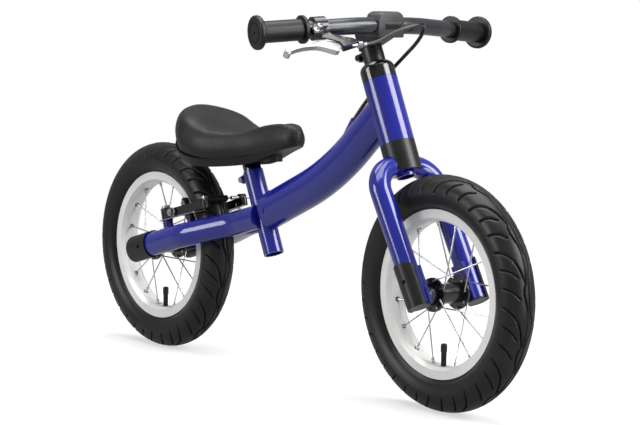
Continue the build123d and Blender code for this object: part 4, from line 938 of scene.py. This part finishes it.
@dataclass
class SaddleCover:
    """The padded cover: a leather skin over foam, with a ridge round a dished top."""

    sections: tuple[SaddleSection, ...] = tuple(SaddleSection(*row) for row in (
        (7.3, 3, 327, 332, 336.5, -0.5, 0.45), (5.5, 8.5, 323, 332, 341, -1, 0.5),
        (1.5, 13, 319, 331, 344.5, -1, 0.55), (-6, 17, 315, 330, 347.5, -0.5, 0.6),
        (-22, 20, 310, 329, 349, 0.5, 0.65), (-48, 24, 302, 324, 346, 1.5, 0.7),
        (-80, 32, 292, 316, 338, 2, 0.74), (-112, 47, 286, 311, 334, 2, 0.78),
        (-140, 58, 284, 310, 335.5, 2, 0.79), (-162, 63.5, 284, 313, 340.5, 0, 0.79),
        (-185, 64.5, 286, 321, 350, -2, 0.78), (-208, 57, 293, 331, 357, -5, 0.76),
        (-226, 42, 303, 339, 360, -6.5, 0.7), (-235, 26, 312, 343, 358, -6, 0.6),
        (-239, 8, 324, 344, 353, -2, 0.5)))
    seam: Profile = ((9, 325), (-60, 305), (-134, 294), (-190, 300), (-242, 333))
    least_above_seam: float = 4.0
    foot_share: float = 0.86
    shift: tuple[float, float] = (0.3, -0.4)
    stations: int = 44
    corner_steps: int = 24
    around: int = 56
    underside: int = 16

    def at(self, station: float) -> SaddleSection:
        """The section at a station, smooth between the given ones."""
        stations, *columns = zip(*(astuple(row) for row in self.sections))
        return SaddleSection(station, *(smooth_at(stations, column, station) for column in columns))

    def outline(self, section: SaddleSection) -> list[Vector]:
        """The closed outline of a section above the seam.

        Args:
            section: The section.

        Returns:
            Points as (across, up) in millimetres.
        """
        wide = section.half_width
        ridge, foot = section.ridge * wide, self.foot_share * wide
        corners = ((foot, section.foot), (wide, section.shoulder), (ridge, section.crest),
                   (0, section.crest - section.dish), (-ridge, section.crest),
                   (-wide, section.shoulder), (-foot, section.foot))
        places, levels = zip(*self.seam)
        seam = min(smooth_at(places, levels, section.station),
                   section.crest - self.least_above_seam)
        kept = [point for point in smooth_path(corners, self.corner_steps) if point.y >= seam]
        upper = resample(kept, self.around)
        lower = [upper[-1].lerp(upper[0], (step + 1) / (self.underside + 1))
                 for step in range(self.underside)]
        return upper + lower

    def build(self) -> Iterator[Object]:
        """Bridges the sections into a closed cushion and dresses it.

        Yields:
            The cover.
        """
        first, last = self.sections[0].station, self.sections[-1].station
        ahead, up = self.shift
        bm = bmesh.new()
        loops = []
        for index in range(self.stations + 1):
            share = 0.5 - 0.5 * math.cos(math.pi * index / self.stations)
            station = first + (last - first) * share
            ring = bmesh.ops.create_circle(bm, cap_ends=index in (0, self.stations), radius=1,
                                           segments=self.around + self.underside)["verts"]
            for vert, point in zip(ring, self.outline(self.at(station))):
                vert.co = Vector((station + ahead, point.x, point.y + up)) * MM
            edges = dict.fromkeys(edge for vert in ring for edge in vert.link_edges)
            loops.append(list(edges))
        for before, after in zip(loops, loops[1:]):
            bmesh.ops.bridge_loops(bm, edges=before + after)
        bmesh.ops.recalc_face_normals(bm, faces=bm.faces)
        piece = mount(mesh_piece("saddle_leather", bm), SADDLE_HIDE, "seat", "saddle_cover")
        yield piece


@dataclass
class ForkEnd:
    """One end of the fork: the tube round the axle, the plug in its foot and a screw."""

    side: Side
    axle: Point = (309.0, 0.0, 152.5)
    lean: float = 60.4
    offset: float = 49.3
    tube: Profile = (
        (0.0, -12.6), (14.2, -12.6), (14.2, 33.5), (12.4, 33.5), (12.4, -10.8), (0.0, -10.8))
    plug: Profile = ((0.0, -15.3), (13.35, -15.3), (14.35, -14.3), (14.35, -12.6), (0.0, -12.6))
    screw: Profile = ((0.0, -6.0), (2.5, -6.0), (2.5, 0.0), (1.25, 0.0), (1.25, -1.6), (0.0, -1.6))
    screw_place: Point = (4.0, 14.6, 19.5)
    tube_steps: int = 48
    screw_steps: int = 24

    def build(self) -> Iterator[Object]:
        """Turns the tube end, its plug, and the screw in the cover's hole.

        Yields:
            The three pieces.
        """
        lean = math.radians(self.lean)
        forward = Vector((math.sin(lean), 0.0, math.cos(lean)))
        up = Vector((-math.cos(lean), 0.0, math.sin(lean)))
        outward = Vector((0.0, self.side.value, 0.0))
        ahead, out, above = self.screw_place
        centre = Vector(self.axle) + outward * self.offset
        head = Vector(self.axle) + outward * (self.offset + out) + forward * ahead + up * above
        upright = frame_at(centre, forward, up.cross(forward))
        sideways = frame_at(head, forward, outward.cross(forward))
        for name, profile, frame, steps, finish in (
                ("fork_end", self.tube, upright, self.tube_steps, FRAME_PAINT),
                ("fork_plug", self.plug, upright, self.tube_steps, BLACK_MOULDING),
                ("fork_end_screw", self.screw, sideways, self.screw_steps, BLACK_STEEL)):
            solid = Solid(frame)
            solid.turn(profile, steps)
            yield solid.mount(f"{name}_{self.side.label}", finish, "fork")


@dataclass
class StayEnd:
    """The welded plate that closes a stay's end beside the seat tube."""

    side: Side
    place: Point = (-66.15, 0.0, 216.8)
    middle: float = 15.5
    half_width: float = 12.45
    half_height: float = 17.15
    tube_edge: float = 13.9
    slope: Point = (-0.27, 0.0, 0.963)
    low: float = -1.6
    high: float = 0.4
    soft: float = 0.35
    steps: int = 36

    def build(self) -> Iterator[Object]:
        """Cuts the plate on the part of the stay's section that is outside the tube.

        Yields:
            The plate.
        """
        reach = math.acos((self.tube_edge - self.middle) / self.half_width)
        turns = [reach * (2 * step / self.steps - 1) for step in range(self.steps + 1)]
        outline = [(self.side.value * (self.middle + self.half_width * math.cos(turn)),
                    self.half_height * math.sin(turn)) for turn in turns]
        plate = Solid(frame_at(self.place, (0, 1, 0), self.slope))
        plate.prism(outline, self.low, self.high, self.soft)
        yield plate.mount(f"stay_end_plate_{self.side.label}", FRAME_PAINT, "frame")


@dataclass
class BarBlock:
    """The clamp block over the middle of the handlebar."""

    outline: Profile = (
        (-25.5, 475.0), (19.5, 475.0), (19.5, 499.0), (16.5, 505.5), (10.0, 509.0), (-16.0, 509.0),
        (-22.5, 505.5), (-25.5, 499.0))
    back: float = 171.0
    front: float = 198.0
    soft: float = 2.4

    def build(self) -> Iterator[Object]:
        """Cuts the block and softens its edges.

        Yields:
            The block.
        """
        block = Solid(frame_at((0, 0, 0), (0, 1, 0), (0, 0, 1)))
        block.prism(self.outline, self.back, self.front, self.soft)
        yield block.mount("bar_block_body", BLOCK_COATING, "bar", "bar_block")


@dataclass
class LeverSet:
    """The hand lever: a clamp band, its bracket, two screws, the adjuster and the blade."""

    clamp: Point = (172.575, -106.0, 486.399)
    inward: Point = (0.20093, 0.97728, 0.06742)
    drop: float = 43.0
    band: Profile = ((11.2, -8.5), (15.4, -8.5), (15.4, 8.5), (11.2, 8.5))
    band_steps: int = 48
    lug: Profile = ((-17, 12), (-13, 19.5), (-2, 16), (8.5, 8), (8.5, 0), (-8.5, 0))
    lug_top: float = -13.0
    arm: Profile = (
        (-5.5, 21.6), (7.8, 27.4), (16.5, 31.8), (18.7, 39.3), (45.3, 32.3), (37.4, 25.8),
        (24.8, 22.1), (12.1, 16.8), (6.9, 8.0), (-2.0, 9.0))
    arm_half: float = 6.5
    arm_soft: float = 0.7
    plate_under: float = -4.6
    nose: Profile = ((22, 38.4), (45.3, 32.3), (37.4, 25.8), (24.8, 22.1), (22, 22))
    nose_soft: float = 1.2
    screw: Profile = (
        (0.0, 3.0), (4.3, 3.0), (4.3, 0.6), (3.44, -0.9), (1.505, -1.4), (1.505, 0.0), (0.0, 0.0))
    screw_places: tuple[Point, ...] = ((-3.9, 7.4, -13.6), (-11.7, 14.5, -13.6))
    small_steps: int = 32
    barrel_foot: Profile = ((0.0, -8.0), (2.6, -8.0), (2.6, 0.0), (4.2, 0.8))
    barrel_ridge: Profile = ((4.4, 1.2), (4.0, 1.9))
    barrel_head: Profile = ((3.2, 9.0), (3.2, 13.0), (0.0, 13.0))
    barrel_place: Point = (43.0, 33.5, 0.0)
    barrel_steps: int = 40
    ridges: int = 5
    ridge_pitch: float = 1.4
    upper_edge: Profile = (
        (19, 36), (17, 30), (2, 26.5), (-12, 25), (-22, 29), (-37, 30), (-50, 33), (-57, 37))
    lower_edge: Profile = (
        (-60, 42), (-50, 37.5), (-37, 34.5), (-22, 33.5), (-12, 35), (-1, 40), (8, 44.5),
        (13, 43.5))
    edge_steps: int = 4
    blade_half: float = 4.2
    blade_soft: float = 1.0
    tip: Profile = ((0.0, -6.5), (3.0, -6.0), (4.5, -4.5), (4.5, 4.5), (3.0, 6.0), (0.0, 6.5))
    tip_place: Point = (-59.5, 39.5, 0.0)

    def frame(self) -> Matrix:
        """Works out the frame that the lever is drawn in.

        Returns:
            The matrix: X runs along the bar, Y out to the fingers, Z down.
        """
        x = Vector(self.inward).normalized()
        forward = (Vector((1, 0, 0)) - x * x.x).normalized()
        down = x.cross(forward)
        drop = math.radians(self.drop)
        return frame_at(self.clamp, x, forward * math.cos(drop) + down * math.sin(drop))

    def build(self) -> Iterator[Object]:
        """Builds the bracket, its two screws, the ridged barrel and the blade with its tip.

        Yields:
            The four pieces.
        """
        frame, along = self.frame(), Matrix.Rotation(math.pi / 2, 4, "Y")
        bracket, screws, barrel, blade = (Solid(frame) for _ in range(4))
        bracket.turn(self.band, self.band_steps, along)
        bracket.prism(self.lug, self.lug_top, self.plate_under, self.nose_soft)
        bracket.prism(self.arm, -self.arm_half, self.plate_under, self.arm_soft)
        bracket.prism(self.nose, -self.arm_half, self.arm_half, self.nose_soft)
        yield bracket.mount("lever_bracket_body", BLACK_STEEL, "bar", "lever_bracket")
        for place in self.screw_places:
            screws.turn(self.screw, self.small_steps, Matrix.Translation(place))
        yield screws.mount("lever_screws", ZINC_STEEL, "bar", "lever_hardware")
        ridges = [(radius, height + ridge * self.ridge_pitch)
                  for ridge in range(self.ridges) for radius, height in self.barrel_ridge]
        barrel.turn([*self.barrel_foot, *ridges, *self.barrel_head], self.barrel_steps,
                    Matrix.Translation(self.barrel_place) @ along)
        yield barrel.mount("adjuster_barrel", ZINC_STEEL, "bar", "cable_adjuster")
        outline = [point for edge in (self.upper_edge, self.lower_edge)
                   for point in smooth_path(edge, self.edge_steps)]
        blade.prism(outline, -self.blade_half, self.blade_half, self.blade_soft)
        blade.turn(self.tip, self.small_steps, Matrix.Translation(self.tip_place))
        yield blade.mount("lever_blade", LEVER_ALLOY, "lever", "brake_lever")


@dataclass
class LinkBoot:
    """The link wire across the rear brake, with its pleated boot."""

    anchor: Point = (-170.3, 16.0, 233.0)
    wire_radius: float = 0.8
    wire_end: float = 62.0
    boot_start: float = 7.0
    pleats: int = 9
    pleat_length: float = 4.0
    crest: float = 4.9
    root: float = 3.4
    rise: float = 0.2
    share_kept: float = 0.91
    steps: int = 40

    def build(self) -> Iterator[Object]:
        """Turns the wire and the boot round one line.

        Yields:
            The link.
        """
        profile = [(0.0, 0.0), (self.wire_radius, 0.0), (self.wire_radius, self.boot_start)]
        for pleat in range(self.pleats):
            start = self.boot_start + pleat * self.pleat_length
            profile += [(self.root, start + self.rise), (self.crest, start + self.pleat_length / 2)]
        boot_end = self.boot_start + self.pleats * self.pleat_length
        profile += [(self.root, boot_end), (self.wire_radius, boot_end + self.rise),
                    (self.wire_radius, self.wire_end), (0.0, self.wire_end)]
        link = Solid(frame_at(self.anchor, (1, 0, 0), (0, 0, 1)))
        link.turn(profile, self.steps)
        piece = link.mount("link_boot", GRIP_RUBBER, "brake_left", "brake_link")
        metres(self.anchor)
        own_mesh(piece)
        yield piece


@dataclass(frozen=True)
class Lamp:
    """A square soft lamp that faces a target."""

    name: str
    place: Point
    target: Point
    size: float
    power: float

    def build(self) -> None:
        """Makes the lamp and turns it to its target."""
        data = bpy.data.lights.new(self.name, "AREA")
        data.shape = "SQUARE"
        data.size = self.size
        data.energy = self.power
        lamp = add_object(self.name, data)
        lamp.location = self.place
        facing = Vector(self.target) - Vector(self.place)
        lamp.rotation_euler = facing.to_track_quat("-Z", "Y").to_euler()


@dataclass
class Studio:
    """Pale floor, soft light, and the camera at the three-quarter front view."""

    lamps: tuple[Lamp, ...] = (
        Lamp("top_lamp", (-0.1, -0.2, 2.5), (0.0, 0.0, 0.2), 2.4, 92.0),
        Lamp("key_lamp", (-0.9, -2.8, 1.1), (0.1, 0.0, 0.3), 1.2, 36.0),
        Lamp("side_lamp", (2.3, 1.15, 2.0), (0.1, 0.0, 0.3), 1.5, 80.0),
        Lamp("low_lamp", (3.0, 0.6, 0.6), (0.1, 0.0, 0.2), 1.1, 30.0))
    camera_place: Point = (2.3420, -1.8679, 0.5431)
    azimuth: float = 50.78
    elevation: float = 5.99
    roll: float = 0.97
    lens: float = 122.54
    sensor: float = 36.0
    floor_size: float = 14.0
    floor_cells: int = 8
    floor_speckle: float = 3.0
    floor_colours: tuple[Colour, Colour] = ((0.96, 0.96, 0.96), (0.97, 0.97, 0.97))
    floor_roughness: float = 0.9
    floor_light: tuple[float, ...] = (0.32, 0.32, 0.32, 1.0)
    floor_mirror: float = 0.2
    white_near: float = 0.58
    white_reach: tuple[float, float] = (0.9, 2.2)
    sky_light: float = 0.16
    sky_mirror: float = 0.25

    def build(self) -> None:
        """Sets the floor, the sky, the lamps and the camera."""
        self.floor()
        self.sky()
        for lamp in self.lamps:
            lamp.build()
        self.camera()

    def floor(self) -> None:
        """A white floor to the camera that keeps a soft shadow, and a grey one as light."""
        bm = bmesh.new()
        bmesh.ops.create_grid(bm, x_segments=self.floor_cells, y_segments=self.floor_cells,
                              size=self.floor_size)
        floor = mesh_piece("studio_floor", bm)
        recipe = Recipe("studio_floor")
        recipe.fill(recipe.shader, {
            "Base Color": recipe.blend(recipe.noise(self.floor_speckle), *self.floor_colours),
            "Roughness": self.floor_roughness, "Specular IOR Level": 0.0})
        inputs = {"Vector": recipe.place}
        reach = recipe.wire("ShaderNodeVectorMath", {"operation": "LENGTH"}, inputs, "Value")
        seen, mirrored = recipe.rays()
        white = recipe.wire("ShaderNodeEmission", {}, {"Color": linear(WHITE), "Strength": 1.0})
        dim = recipe.wire("ShaderNodeBsdfDiffuse", {}, {"Color": self.floor_light})
        clear = reach.step(*self.white_reach) * (1 - self.white_near) + self.white_near
        shown = recipe.mixed(clear, recipe.surface, white)
        bounced = recipe.mixed(mirrored * self.floor_mirror, dim, white)
        recipe.fill(recipe.output, {"Surface": recipe.mixed(seen, bounced, shown)})
        floor.data.materials.append(recipe.material)

    def sky(self) -> None:
        """A white sky to the camera, paler in reflections, and a soft grey one as light."""
        world = bpy.data.worlds.new("studio_sky")
        bpy.context.scene.world = world
        nodes = Nodes(world)
        seen, mirrored = nodes.rays()
        soft, white = (nodes.wire("ShaderNodeBackground", {},
                                  {"Color": linear(WHITE), "Strength": strength})
                       for strength in (self.sky_light, 1.0))
        shown = nodes.mixed(mirrored * self.sky_mirror + seen, soft, white)
        nodes.node("ShaderNodeOutputWorld", {}, {"Surface": shown})

    def camera(self) -> None:
        """The camera, turned by its azimuth, elevation and roll."""
        around, above, tilt = (math.radians(turn)
                               for turn in (self.azimuth, self.elevation, self.roll))
        back = Vector((math.sin(around) * math.cos(above), -math.cos(around) * math.cos(above),
                       math.sin(above)))
        level = Vector((math.cos(around), math.sin(around), 0.0))
        upright = back.cross(level)
        right = level * math.cos(tilt) + upright * math.sin(tilt)
        up = upright * math.cos(tilt) - level * math.sin(tilt)
        data = bpy.data.cameras.new("studio_camera")
        data.lens = self.lens
        data.sensor_width = self.sensor
        camera = add_object("studio_camera", data)
        turn = Matrix((right, up, back)).transposed().to_4x4()
        camera.matrix_world = Matrix.Translation(self.camera_place) @ turn
        bpy.context.scene.camera = camera


def main() -> None:
    """Loads the frame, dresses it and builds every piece."""
    logging.basicConfig(level=logging.INFO, format="%(name)s: %(message)s")
    bpy.ops.wm.read_factory_settings(use_empty=True)
    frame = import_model()
    bpy.context.scene.view_settings.view_transform = "Standard"
    Studio().build()
    dress_nodes(frame["nodes"])
    assemblies: list[Assembly] = [
        Housing("front_housing", "front_cable_housing", "bar", FRONT_ROUTE, length=0.280),
        Housing("rear_housing", "rear_cable", "frame", REAR_ROUTE, length=0.125),
        Tyre("front", WHEELBASE / 2), Tyre("rear", -WHEELBASE / 2),
        SaddleCover(), BarBlock(), LinkBoot()]
    for side in Side:
        assemblies += [ForkEnd(side), StayEnd(side)]
    assemblies.append(LeverSet())
    for assembly in assemblies:
        for piece in assembly.build():
            log.info("built %s", piece.name)


if __name__ == "__main__":
    main()
